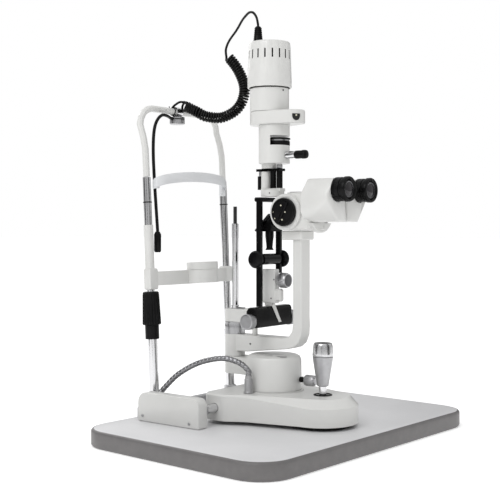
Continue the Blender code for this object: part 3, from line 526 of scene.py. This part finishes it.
# ---------------------------------------------------------------- CAD nodes that stay
SHARP_OVER = math.radians(32)
KEPT = {
    WHITE: ["rail_cover_left", "rail_cover_right", "headrest_arch", "chin_rest_bar", "chin_cup", "base_housing",
            "column_housing", "microscope_arm", "microscope_body", "prism_housing_left", "prism_housing_right",
            "illumination_arm", "slit_box", "lamp_stem", "lower_housing", "aperture_collar", "lamp_body"],
    BLACK: ["tilt_block", "yoke", "mirror_mount", "cross_plate", "slit_width_knob"],
    PLASTIC: ["fixation_lamp", "joystick_ball"],
    CHROME: ["post_left", "post_right", "fixation_clamp", "cross_axle", "lift_column", "joystick_shaft",
             "pivot_shaft"],
    SATIN: ["rack_left", "rack_right", "headrest_crossbar", "wheel_left", "wheel_right", "scale_ring"],
    MIRROR: ["mirror"],
    LAMINATE: ["table_top"],
}


def dress_nodes():
    two = two_tone("rod_chrome_black", CHROME, (0.01, 0.01, 0.01), 0.3, H(ROD_PAINT_FROM) / 1000)
    kept = [(n, mat) for mat, names in KEPT.items() for n in names] + [("focus_rod", two)]
    for name, mat in kept:
        node = frame["nodes"][name]
        node.data.materials.clear()
        node.data.materials.append(mat)
        weld = node.modifiers.new("weld", "WELD")
        weld.merge_threshold = 0.00001
        for attribute in ("custom_normal", "sharp_face", "sharp_edge"):
            found = node.data.attributes.get(attribute)
            if found:
                node.data.attributes.remove(found)
        smooth = node.modifiers.new("smooth", "NODES")
        smooth.node_group = smooth_group()


def smooth_group():
    """Smooth shading with the sharper edges kept, as a modifier, because the CAD meshes stay as they are."""
    group = bpy.data.node_groups.get("smooth_by_angle")
    if group:
        return group
    group = bpy.data.node_groups.new("smooth_by_angle", "GeometryNodeTree")
    group.interface.new_socket("Geometry", in_out="INPUT", socket_type="NodeSocketGeometry")
    group.interface.new_socket("Geometry", in_out="OUTPUT", socket_type="NodeSocketGeometry")
    entry, out = group.nodes.new("NodeGroupInput"), group.nodes.new("NodeGroupOutput")
    angle = group.nodes.new("GeometryNodeInputMeshEdgeAngle")
    sharp = group.nodes.new("FunctionNodeCompare")
    sharp.operation = "GREATER_THAN"
    sharp.inputs[1].default_value = SHARP_OVER
    faces = group.nodes.new("GeometryNodeSetShadeSmooth")
    edges = group.nodes.new("GeometryNodeSetShadeSmooth")
    edges.domain = "EDGE"
    no = group.nodes.new("FunctionNodeBooleanMath")
    no.operation = "NOT"
    link = group.links.new
    link(entry.outputs[0], faces.inputs["Geometry"])
    link(faces.outputs["Geometry"], edges.inputs["Geometry"])
    link(angle.outputs["Unsigned Angle"], sharp.inputs[0])
    link(sharp.outputs["Result"], no.inputs[0])
    link(no.outputs["Boolean"], edges.inputs["Shade Smooth"])
    link(edges.outputs["Geometry"], out.inputs[0])
    return group


# ---------------------------------------------------------------- cords
COIL = [                        # the middle of the coil: x, y, height over the table
    (-9, 226, 578), (0, 224, 577), (9, 217, 572), (13, 207, 566.5), (18.6, 197, 560), (26, 184, 557),
    (34, 170, 556), (42, 156.5, 561), (49, 143, 570.5), (53, 132.5, 585), (56.5, 128.5, 604.5), (57, 131.7, 624),
    (53.7, 141.5, 647), (49, 152, 663.5), (45.2, 158, 671.5),
]
LEAD = [
    (43.4, 159.8, 674.5), (41, 160.7, 678.5), (37.5, 158.5, 687), (32.5, 147, 700), (22.8, 120, 717), (10.7, 96, 731.5),
    (1.1, 72.4, 739.4), (-0.9, 59.9, 733.8), (-0.4, 54.3, 722), (0, 53, 710.8),
]
HOSE = [
    (-133, 181, 43), (-126, 181, 45), (-117, 171, 60), (-109, 156, 77), (-101, 139, 90), (-93, 119, 101),
    (-86, 98, 108), (-79, 75, 112), (-73, 55, 110), (-67, 38, 103), (-64, 25.7, 92), (-64, 25.7, 84.3),
]
CORD_R, COIL_R, COIL_PITCH = 2.3, 8.5, 5.1
HOSE_R, HOSE_GROOVE_R, GROOVE_EVERY = 5.0, 4.2, 7
POINTS_PER_TURN = 14
COIL_CUTS = [0.0, 0.22, 0.42, 0.62, 0.84, 1.0]
# The bodies from the headrest to the lamp head, each carried by the one before it.
CHAIN = ["stand", "carriage", "base", "column", "illumination", "lamp_tower", "lamp_head"]


def helix(line, radius, pitch):
    """The wire of a coil whose middle follows the line."""
    frames = frames_along(line)
    reach = [0.0]
    for a, b in zip(line, line[1:]):
        reach.append(reach[-1] + (b - a).length)
    turns = round(reach[-1] / pitch)
    found, k = [], 0
    count = turns * POINTS_PER_TURN
    for i in range(count + 1):
        at = reach[-1] * i / count
        while k < len(line) - 2 and reach[k + 1] < at:
            k += 1
        t = (at - reach[k]) / (reach[k + 1] - reach[k])
        middle = line[k].lerp(line[k + 1], t)
        across = frames[k][1].lerp(frames[k + 1][1], t).normalized()
        up = frames[k][2].lerp(frames[k + 1][2], t).normalized()
        turn = 2 * math.pi * i / POINTS_PER_TURN
        found.append(middle + radius * (across * math.cos(turn) + up * math.sin(turn)))
    return found


def cord_piece(name, path, radius, mat, bodies, sides=8, ripple=None,
               standing_for=()):
    """One stretch of a cord, riding on its body, or left fixed where it lies when it spans two."""
    made = sweep(name, path, ripple or radius, None, mat, sides)
    if len(bodies) == 1:
        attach(made, bodies[0])
    else:
        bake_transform(made)
    if standing_for:
        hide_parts(*standing_for)


def make_cords():
    middle = route(COIL, 2.0)
    wire = helix(middle, COIL_R, COIL_PITCH)
    # One stretch between each pair of bodies, cut where a turn of the wire ends.
    cuts = [round(share * (len(wire) - 1) / POINTS_PER_TURN) * POINTS_PER_TURN for share in COIL_CUTS]
    cuts[-1] = len(wire) - 1
    for i, (a, b) in enumerate(zip(cuts, cuts[1:])):
        path = wire[a:b + 1]
        cord_piece(
            f"coil_{i + 1}", path, CORD_R, RUBBER, CHAIN[i:i + 2],
            standing_for=("curly_cord",) if i == 0 else (),
        )
    # The thin lead from the coil's last turn over to the plug.
    lead = route(LEAD, 3.0)
    start = [wire[-1], wire[-1].lerp(lead[1], 0.5)]
    lead = smooth_join(start, lead[2:])
    cut = round(len(lead) * 0.55)
    cord_piece("lead_rising", lead[:cut + 1], CORD_R, RUBBER, CHAIN[5:7],
               standing_for=("cord_lead",))
    cord_piece("lead_falling", lead[cut:], CORD_R, RUBBER, ["lamp_head"])
    # From the coil's first turn back over the arch and down to the clamp.
    tail = [wire[0], Vector((-14, 231, H(586))), Vector((-18, 237, H(582))), Vector((-19, 244, H(577))),
            Vector((-16.5, 250, H(571.5))), Vector((-11, 251.4, H(567.5)))]
    tail = curve_through(tail, 2.5)
    cord_piece("lead_to_clamp", tail, CORD_R, RUBBER, ["stand"])
    hose = route(HOSE, 1.1)
    ripple = [HOSE_GROOVE_R if i % GROOVE_EVERY == 0 else HOSE_R for i in range(len(hose))]
    cut = round(len(hose) * 0.5)
    cord_piece("hose_1", hose[:cut + 1], HOSE_R, HOSE_METAL, CHAIN[0:2], 18,
               ripple=ripple[:cut + 1], standing_for=("hose",))
    cord_piece("hose_2", hose[cut:], HOSE_R, HOSE_METAL, CHAIN[1:3], 18,
               ripple=ripple[cut:])


def smooth_join(start, rest):
    """A smooth curve from the start on through every fourth point of the rest."""
    return curve_through([*start, *rest[2::4], rest[-1]], 2.5)


def curve_through(points, spacing):
    """route() for points in X, Y, Z."""
    return route([(p[0], p[1], p[2] - TOP) for p in points], spacing)


# ---------------------------------------------------------------- knobs and small detail
def knurled(name, profile, centre, axis, body, nodes, teeth, depth, rings, mat=SATIN, steps=None):
    made = lathe(name, profile, centre, axis, body, mat, steps or teeth * 4,
                 fluted(teeth, depth, rings), angle=50)
    if nodes:
        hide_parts(*nodes)
    return made


def column_lock():
    at = (12, 0, H(73.5))
    grip = [(0, -45), (4.2, -45), (9.4, -45.6), (9.9, -46.6), (9.9, -61), (9.2, -62.4), (8.4, -64), (7, -66.4),
            (6.6, -67), (0, -67)]
    knurled("column_lock_grip", grip, at, "Y", "lock_knob", ["column_lock_knob"], 36, 0.045, {3, 4})
    neck = [(0, -33.2), (5, -33.2), (5, -37), (4, -38), (4, -45.4), (0, -45.4)]
    lathe("column_lock_neck", neck, at, "Y", "lock_knob", PLASTIC, 32)


def tilt_lock():
    """The tilt shaft with its two knobs."""
    profile = both_ways(
        [(5, 55.3), (13, 55.3), (14, 56), (14, 68.6), (13.2, 69.4), (11.4, 69.5), (11, 69.0), (0, 69.0)]
    )
    last = len(profile) - 1
    knurled("tilt_lock_grips", profile, (0, LAMP_Y, H(178.5)), "X", "tilt_lock", ["tilt_lock_shaft"], 48, 0.04,
            {4, 5, last - 4, last - 5})


def slit_centring():
    """The slit centring knob, silver with a dark face."""
    at = (0, 0, H(250.4))
    grip = [(0, 9.6), (4, 9.6), (4, 6), (10, 5.4), (12.4, 2), (13.6, 0), (13.6, -10.6), (12.9, -12.2),
            (12.2, -14.6), (10.6, -14.6), (10.4, -13.8), (0, -13.8)]
    knurled("centring_grip", grip, at, "Y", "slit_centring", ["centering_knob"], 44, 0.04, {5, 6})
    face = [(0, -13.9), (10.2, -13.9), (10.2, -14.2), (0, -14.3)]
    lathe("centring_face", face, at, "Y", "slit_centring", DARK_STEEL)


def chin_height():
    """The fluted chin height knob, on its collar."""
    profile = [(12.8, 140.6), (12.8, 166), (16.4, 167), (17.2, 169), (16.9, 176), (15.3, 221), (14.6, 226),
               (12.8, 227.5), (7.7, 227.5), (7.7, 140.6)]
    grip = knurled("chin_height_grip", at_heights(profile), (-POST_X, POST_Y, 0), "Z", "chin_knob",
                   ["chin_height_knob"], 20, 0.085, {3, 4, 5}, PLASTIC, 160)
    grip.data.transform(metre_matrix(leaning()))


def joystick():
    """A satin cone under a bright tapered head, with a black button and a black seat in the base."""
    at = (0, JOYSTICK_Y, 0)
    cone = [(0, 116.6), (3.7, 116.6), (3.7, 68.8), (9.0, 68.8), (10.1, 69.8), (11.4, 78), (16.9, 112),
            (17.9, 119.5), (17.4, 120.2), (16.5, 120.6), (16.5, 132), (0, 132)]
    made = lathe("joystick_cone", at_heights(cone), at, "Z", "joystick_handle", SATIN, 72)
    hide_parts("joystick_grip")
    cap = [(16.6, 121.2), (17.9, 121.2), (18.3, 121.9), (18.2, 126), (17.4, 135), (16.6, 140.6), (15.9, 143),
           (15.2, 143.9), (14.8, 143.4), (0, 143.4), (0, 132.2), (16.6, 132.2)]
    lathe("joystick_cap", at_heights(cap), at, "Z", "joystick_handle", BRIGHT, 72)
    button = [(0, 143.0), (14.6, 143.0), (14.4, 144.0), (8, 144.8), (0, 144.8)]
    lathe("joystick_button", at_heights(button), at, "Z", "joystick_handle", PLASTIC)
    seat = [(13.5, 53.1), (16.5, 53.1), (16.2, 54.3), (14.0, 54.8), (13.5, 54.2)]
    lathe("joystick_seat", at_heights(seat), at, "Z", "base", PLASTIC)


def magnification():
    """The drum knob on both sides of the microscope, with its grip bar and marks."""
    centre = (0, -32.6, H(OPTIC_H))
    profile = both_ways(
        [(8, 36.1), (23.9, 36.1), (24.4, 36.8), (24.4, 42.4), (23.3, 43.8), (21.2, 44.1), (20.4, 42.6), (0, 42.6)]
    )
    made = lathe("magnification_disc", profile, centre, "X", "magnification", PLASTIC, 64)
    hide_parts("magnification_knob")
    bar_lean = math.atan2(20, 38)
    turn = Matrix.Translation(centre) @ Matrix.Rotation(bar_lean, 4, "X")
    for side, name in SIDES:
        low, high = sorted((side * 42.3, side * 44.6))
        block(f"magnification_bar_{name}", (low, -3.4, -20), (high, 3.4, 20), "magnification", BLACK,
              0.8, turn)
        bm = bmesh.new()
        low, high = sorted((side * 42.3, side * 42.95))
        for dy, dz in ((3.6, 11.5), (-5.2, 0), (21.0, 0), (17.2, -11.5), (1.1, -13.4)):
            dot = [(0, low), (1.5, low), (1.5, high), (0, high)]
            lathe_into(bm, dot, (0, centre[1] + dy, centre[2] + dz), "X", 12)
        made_of(bm, f"magnification_marks_{name}", "magnification", MARK)
        ring = [(25.2, 35.3), (29.8, 35.3), (30.4, 35.9), (29.6, 36.6), (25.6, 36.6)]
        lathe(f"drum_rim_{name}", [(r, side * x) for r, x in ring], centre, "X", "microscope", WHITE,
              64)


def metre_matrix(matrix):
    """The same transform for a mesh in metres."""
    made = matrix.copy()
    made.translation = matrix.translation * 0.001
    return made


# ---------------------------------------------------------------- microscope
def eyepieces():
    for side, name in SIDES:
        eye = (side * EYE_X, 0, H(EYE_H))
        body = f"{name}_eyepiece"
        barrel = [(0, -125.4), (15.6, -125.4), (15.6, -139.7), (20.0, -139.7), (20.4, -140.1), (20.4, -143.4),
                  (19.6, -143.9), (19.6, -144.7), (20.4, -145.2), (20.4, -151.8), (20.0, -152.5), (18.9, -153.2),
                  (18.9, -156.2), (20.6, -157.2), (21.4, -158.2), (21.4, -163.4), (20.8, -165.0), (19.6, -166),
                  (17.6, -166), (16.6, -165), (14.6, -161.4), (0, -161.4)]
        made = lathe(f"eyecup_{name}", barrel, eye, "Y", body, BLACK, 72, fluted(36, 0.025, {8, 9}))
        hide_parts(f"eyepiece_{name}")
        ring = [(11.6, -162.2), (14.0, -162.2), (14.0, -163.6), (13.2, -164.0), (11.8, -163.4)]
        lathe(f"eyepiece_ring_{name}", ring, eye, "Y", body, DARK_STEEL, 48)
        lens = [(0, -161.9), (12.0, -161.9), (12.0, -162.7), (9, -163.4), (5, -163.8), (0, -163.9)]
        lathe(f"eye_lens_{name}", lens, eye, "Y", body, GLASS, 48)


def microscope_detail():
    objective = (0, 0, H(OPTIC_H))
    lens = [(0, -3.6), (18.6, -3.6), (18.6, -2.0), (14, -0.6), (8, 0.2), (0, 0.4)]
    made = lathe("objective_glass", lens, objective, "Y", "microscope", GLASS, 48)
    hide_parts("objective_lens")
    ring = [(18.9, -2.2), (21.9, -2.2), (21.9, 0.7), (19.6, 0.9), (18.9, -0.4)]
    lathe("objective_ring", ring, objective, "Y", "microscope", PLASTIC, 48)
    block("top_plate", (-22, -59, H(406.2)), (22, -33, H(407.6)), "microscope", SATIN, 0.5)
    screw("arm_screw", (-14, 60, H(133)), "X", -1, 1.6, "microscope")
    screw("drum_screw", (-31.4, -53.1, H(371)), "X", -1, 1.1, "microscope", head=0.4)
    # Angle marks round the two scale rings.
    bm = bmesh.new()
    for i in range(72):
        turn = Matrix.Translation((0, PIVOT_Y, 0)) @ Matrix.Rotation(math.radians(5 * i), 4, "Z")
        tall = 4.6 if i % 2 == 0 else 2.6
        box_into(bm, (18.3, -0.16, H(161.8)), (18.62, 0.16, H(161.8 + tall)), turn)
    made_of(bm, "angle_marks", "microscope", DARK_MARKS_AND_PAINTED_SHADE)
    block("index_plate", (-2.6, 84, H(195.1)), (2.6, 101, H(197.8)), "illumination", SATIN, 0.8)


# ---------------------------------------------------------------- lamp
def lamp_cap():
    """The ribbed cap: broad ribs from its crown down, and a deep slot between each pair."""
    slots, steps_per_slot, slot_deep = 18, 10, 1.6
    slot_from, slot_to = 646.5, 662.5
    steps = slots * steps_per_slot
    phase = math.radians(-96)
    profile = [
        (37.0, 596.2), (39.4, 596.2), (39.8, 597.0), (39.8, 610), (39.6, 620), (39.5, 624), (39.2, 634),
        (38.7, slot_from), (38.2, slot_to), (37.8, 671), (37.2, 675.6), (35.8, 677.5), (10, 677.5), (0, 677.5),
        (0, 674.5), (33, 674.5), (35, 668.5), (36.0, 634),
    ]
    rib_rings = {5: 0.35, 6: 0.8, 7: 1.0, 8: 1.0, 9: 1.0, 10: 0.9, 11: 0.6}

    def ridge(turn, index):
        share = rib_rings.get(index, 0.0)
        wave = 0.5 + 0.5 * math.cos(slots * (turn - phase + math.pi / slots))
        valley = max(0.0, 1.0 - wave * 6.0)
        return 1.0 - 0.011 * share * valley - 0.004 * share * (1 - wave)

    bm = bmesh.new()
    lathe_into(bm, at_heights(profile), (0, LAMP_Y, 0), "Z", steps, ridge)
    bm.normal_update()
    # The faces in the middle of each valley sink in, and they and their sides are painted near-black: painted shade
    # inside the slots.
    cells = []
    for face in bm.faces:
        middle = face.calc_center_median()
        radius = math.hypot(middle.x, middle.y - LAMP_Y)
        turn = math.atan2(middle.y - LAMP_Y, middle.x) - phase
        off = (turn + math.pi / slots) % (2 * math.pi / slots) - math.pi / slots
        if H(slot_from) < middle.z < H(slot_to) and radius > 37 and abs(off) < 1.1 * math.pi / steps:
            cells.append(face)
    others = set(bm.faces) - set(cells)
    moved = bmesh.ops.extrude_discrete_faces(bm, faces=cells)["faces"]
    for face in set(bm.faces) - others:
        face.material_index = 1
    for face in moved:
        middle = face.calc_center_median()
        inward = Vector((-middle.x, LAMP_Y - middle.y, 0)).normalized()
        bmesh.ops.translate(bm, vec=inward * slot_deep, verts=face.verts)
    made = made_of(bm, "lamp_cap_ribbed", "lamp_head", [WHITE, DARK_MARKS_AND_PAINTED_SHADE], 28)
    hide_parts("lamp_cap")
    bulb = [(0, 584), (7, 584), (7, 612), (8, 613), (10, 620), (10.4, 628), (9, 636), (5, 641.4), (0, 642)]
    glow = lathe("bulb_glass", at_heights(bulb), (0, LAMP_Y, 0), "Z", "lamp_head", BULB, 32)
    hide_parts("bulb")


def plug_and_screws():
    profile = [(0, 677.9), (8.4, 677.9), (8.6, 680), (8.4, 686), (8.0, 690)]
    for i in range(5):
        h = 692 + 3.4 * i
        wide = 7.8 - 0.28 * i
        profile += [(wide, h), (wide, h + 1.9), (wide - 0.9, h + 2.2), (wide - 0.9, h + 3.1)]
    profile += [(5.0, 709.6), (4.2, 710.5), (0, 710.5)]
    made = lathe("plug_ribbed", at_heights(profile), (0, PLUG_Y, 0), "Z", "lamp_head", RUBBER, 32)
    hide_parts("plug")
    screw("body_screw", (-6.0, -7.9, H(589.6)), "Y", -1, 1.7, "lamp_head", head=0.3)
    screw("stem_screw", (-19.9, 12.6, H(406.6)), "X", -1, 1.2, "lamp_tower", head=0.3)


def aperture():
    """The D-shaped window in the side of the aperture collar, and the dot over it."""
    turn = Matrix.Translation((0, -24, H(540))) @ Matrix.Rotation(math.radians(-128.5), 4, "Z")
    rim = [(-7, 5), (7, 5)]
    rim += [(7 * math.cos(a), 1.4 + 8.4 * math.sin(a)) for a in (-math.pi * k / 10 for k in range(11))]
    bm = bmesh.new()
    skin(bm, [[bm.verts.new(turn @ Vector((out, across, up))) for across, up in rim] for out in (22.2, 20.6)])
    made_of(bm, "aperture_window", "lamp_head", DARK_MARKS_AND_PAINTED_SHADE)
    lathe("aperture_mark", [(0, 21.8), (1.5, 21.8), (1.5, 22.5), (0, 22.5)], (0, 0, 2.2), "X", "lamp_head", MARK,
          16, transform=turn)


def filters():
    """The filter wheel: a satin disc, and a knurled edge over it."""
    at = (4.6, 10.6, 0)
    disc = [(0, 500.4), (19.6, 500.4), (19.6, 502.6), (0, 502.6)]
    lathe("filter_disc", at_heights(disc), at, "Z", "filters", SATIN, 48)
    wheel = [(0, 492.6), (20.3, 492.6), (20.8, 493.2), (20.8, 499.4), (20.2, 500), (16, 500), (16, 503),
             (21.2, 503), (21.5, 503.4), (21.5, 505.6), (21, 506), (0, 506)]
    made = knurled("filter_wheel_knurled", at_heights(wheel), at, "Z", "filters", ["filter_wheel"], 60, 0.03,
                   {2, 3}, PLASTIC)


def lever_and_bolt():
    """The lever that turns the lamp head, and the bolt and rod on the cross plate under it."""
    at = (0, 0, H(474))
    stem = [(0, -11.9), (7.4, -11.9), (7.4, -14), (6.3, -30.6), (0, -30.6)]
    made = lathe("lever_stem", stem, at, "Y", "lamp_head", CHROME, 40)
    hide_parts("rotation_lever")
    grip = [(0, -30.4), (6.3, -30.4), (7.2, -31.3), (7.4, -36), (7.2, -43), (7.8, -46), (7.8, -51), (7.2, -53.6),
            (5, -54.9), (0, -55)]
    lathe("lever_grip", grip, at, "Y", "lamp_head", PLASTIC, 40)
    bolt = [(0, 450.9), (4.6, 450.9), (5.3, 451.6), (5.3, 457.8), (4.7, 458.6), (0, 458.6)]
    knurled("cross_bolt", at_heights(bolt), (0, 4.6, 0), "Z", "lamp_tower", [], 24, 0.06, {2, 3})
    rod = [(2.55, 438.2), (2.9, 438.2), (2.9, 446.2), (2.55, 446.2)]
    lathe("pillar_rod", at_heights(rod), (0, 47.4, 0), "Z", "lamp_tower", SATIN, 20)


def tower_detail():
    for name, y, h in (("upper", 12.0, 251.4), ("lower", 18.3, 217.5)):
        screw(f"slit_screw_{name}", (-7, y, H(h)), "X", -1, 1.4, "lamp_tower", head=0.5)
    # The white slanted lever on the operator's side of the tilt block.
    bm = bmesh.new()
    strip = [(-8.5, 206), (0.5, 207), (20.5, 173.4), (12.8, 173.4)]
    skin(bm, [[bm.verts.new((x, y, H(h))) for x, h in strip] for y in (14.9, 16.4)])
    made_of(bm, "tilt_lever", "lamp_tower", WHITE)


# ---------------------------------------------------------------- headrest
def fixation_light():
    x, y, top = -8.0, 243.0, 558.45
    cup = [(0, -14), (13.4, -14), (14.5, -13), (14.5, -5.6), (13.9, -5.2), (13.9, -3.6), (14.5, -3.2), (14.5, -0.8),
           (13.6, 0), (4.4, 0), (4.4, -8.6), (0, -8.6)]
    made = lathe("fixation_cup", [(r, H(top + h)) for r, h in cup], (x, y, 0), "Z", "fixation_light", SATIN)
    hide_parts("fixation_arm")
    band = [(14.05, -5.5), (14.3, -5.5), (14.3, -3.3), (14.05, -3.3)]
    lathe("fixation_band", [(r, H(top + h)) for r, h in band], (x, y, 0), "Z", "fixation_light", DARK_MARKS_AND_PAINTED_SHADE)
    neck = [(x - 10, y, top - 6), (-30, 241, 555), (-48, 234, 557), (-69, 227, 555.5), (-86, 223.5, 544),
            (-95.5, 222, 524), (-98.5, 221.5, 488), (-95.5, 221.5, 433), (-87, 222, 344), (-86.6, 222, 338)]
    sweep("fixation_neck", route(neck, 4.0), 3.0, "fixation_light", PLASTIC, 14)


def headrest_detail():
    eye_level = [(7.35, 391), (7.9, 391), (8.15, 391.4), (8.15, 392.8), (7.9, 393.2), (7.35, 393.2)]
    socket = [(9.05, 20.5), (12.5, 20.5), (12.5, 27), (11, 28.5), (9.05, 28.5)]
    for side, name in SIDES:
        post = (side * POST_X, POST_Y, 0)
        lathe(f"eye_level_{name}", at_heights(eye_level), post, "Z", "stand", DARK_MARKS_AND_PAINTED_SHADE, 40,
              transform=leaning())
        lathe(f"socket_{name}", at_heights(socket), post, "Z", "stand", SATIN, 40,
              transform=leaning())
    # Forehead band: a rounded strip, and a clamp on each post that holds it.
    bm = bmesh.new()
    steps, half, end_y, mid_y, rise = 48, 102.6, 215.0, 189.0, 15.5
    section = [(0.0, 417.5), (0.7, 416.2), (1.8, 416.2), (2.5, 417.5), (2.5, 433.5), (1.8, 434.8), (0.7, 434.8),
               (0.0, 433.5)]
    rows = []
    for i in range(steps + 1):
        t = 2 * i / steps - 1
        x, bow = half * math.sin(t * math.pi / 2), math.cos(t * math.pi / 2)
        y = end_y + (mid_y - end_y) * bow
        rows.append([bm.verts.new((x, y + dy, H(h + rise * bow))) for dy, h in section])
    skin(bm, rows)
    made = made_of(bm, "forehead_strip", "stand", MILKY, 40)
    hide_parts("forehead_band")
    for side, name, low in ((-1, "left", 417.5), (1, "right", 408)):
        x0, x1 = sorted((side * 103.2, side * 90))
        block(f"band_clip_{name}", (x0, 212.6, H(low)), (x1, 219.4, H(433.5)), "stand", MILKY,
              1.2)
    # Cable tie round the arch.
    bm = bmesh.new()
    loop = [Vector((-21 + 0.8 * math.sin(a), 243 + 7.3 * math.cos(a), H(568) + 7.3 * math.sin(a)))
            for a in (2 * math.pi * k / 28 for k in range(29))]
    sweep_into(bm, [*loop, loop[1] + Vector((0, 0.6, 3)), loop[1] + Vector((-1.5, 1, 9))], 0.9, 8)
    made_of(bm, "cable_tie", "stand", RUBBER, 50)


# ---------------------------------------------------------------- base and covers
def foundations():
    for side, name in SIDES:
        x = side * 166.6
        for i, (y, h) in enumerate(((184.6, 10.6), (74.9, 8.3))):
            screw(f"cover_screw_{name}_{i + 1}", (x, y, H(h)), "X", side, 2.6, "stand", SATIN, 1.1)
        flange = [(8.1, side * 138.6), (12, side * 138.6), (12, side * 141.8), (8.1, side * 141.8)]
        lathe(f"axle_flange_{name}", flange, (0, 67, H(29)), "X", "carriage", SATIN, 40)
    gland = [(0, -142.4), (7.4, -142.4), (7.4, -138), (6.4, -137), (6.4, -133.6), (5.6, -132.6), (0, -132.6)]
    lathe("hose_gland", gland, (0, 181, H(43)), "X", "stand", SATIN, 32)
    profile = [(0, 53.4), (8.8, 53.4), (8.8, 55.2), (7.8, 56.4), (7.4, 58), (7.4, 77), (6.8, 78.4), (6.0, 79.2),
               (6.0, 83.6), (5.3, 84), (0, 84)]
    made = lathe("hose_socket", at_heights(profile), (-64, 25.7, 0), "Z", "base", ZINC, 32)
    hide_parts("hose_connector")
    for name, x, y, r in (("small", -20, 12, 6.3), ("large", -18, -14, 9.3)):
        disc = [(0, 114.6), (r, 114.6), (r, 114.9), (0, 114.9)]
        lathe(f"recess_{name}", at_heights(disc), (x, y, 0), "Z", "column", ZINC, 32)
    pad = [(0, 0.8), (54, 0.8), (56, 2), (56, 7.6), (0, 7.6)]
    lathe("glide_pad", at_heights(pad), (0, -84, 0), "Z", "base", PLASTIC, 64)


make_camera()
make_stage()
dress_nodes()
make_cords()
column_lock()
tilt_lock()
slit_centring()
chin_height()
joystick()
magnification()
eyepieces()
microscope_detail()
lamp_cap()
plug_and_screws()
aperture()
filters()
lever_and_bolt()
tower_detail()
fixation_light()
headrest_detail()
foundations()
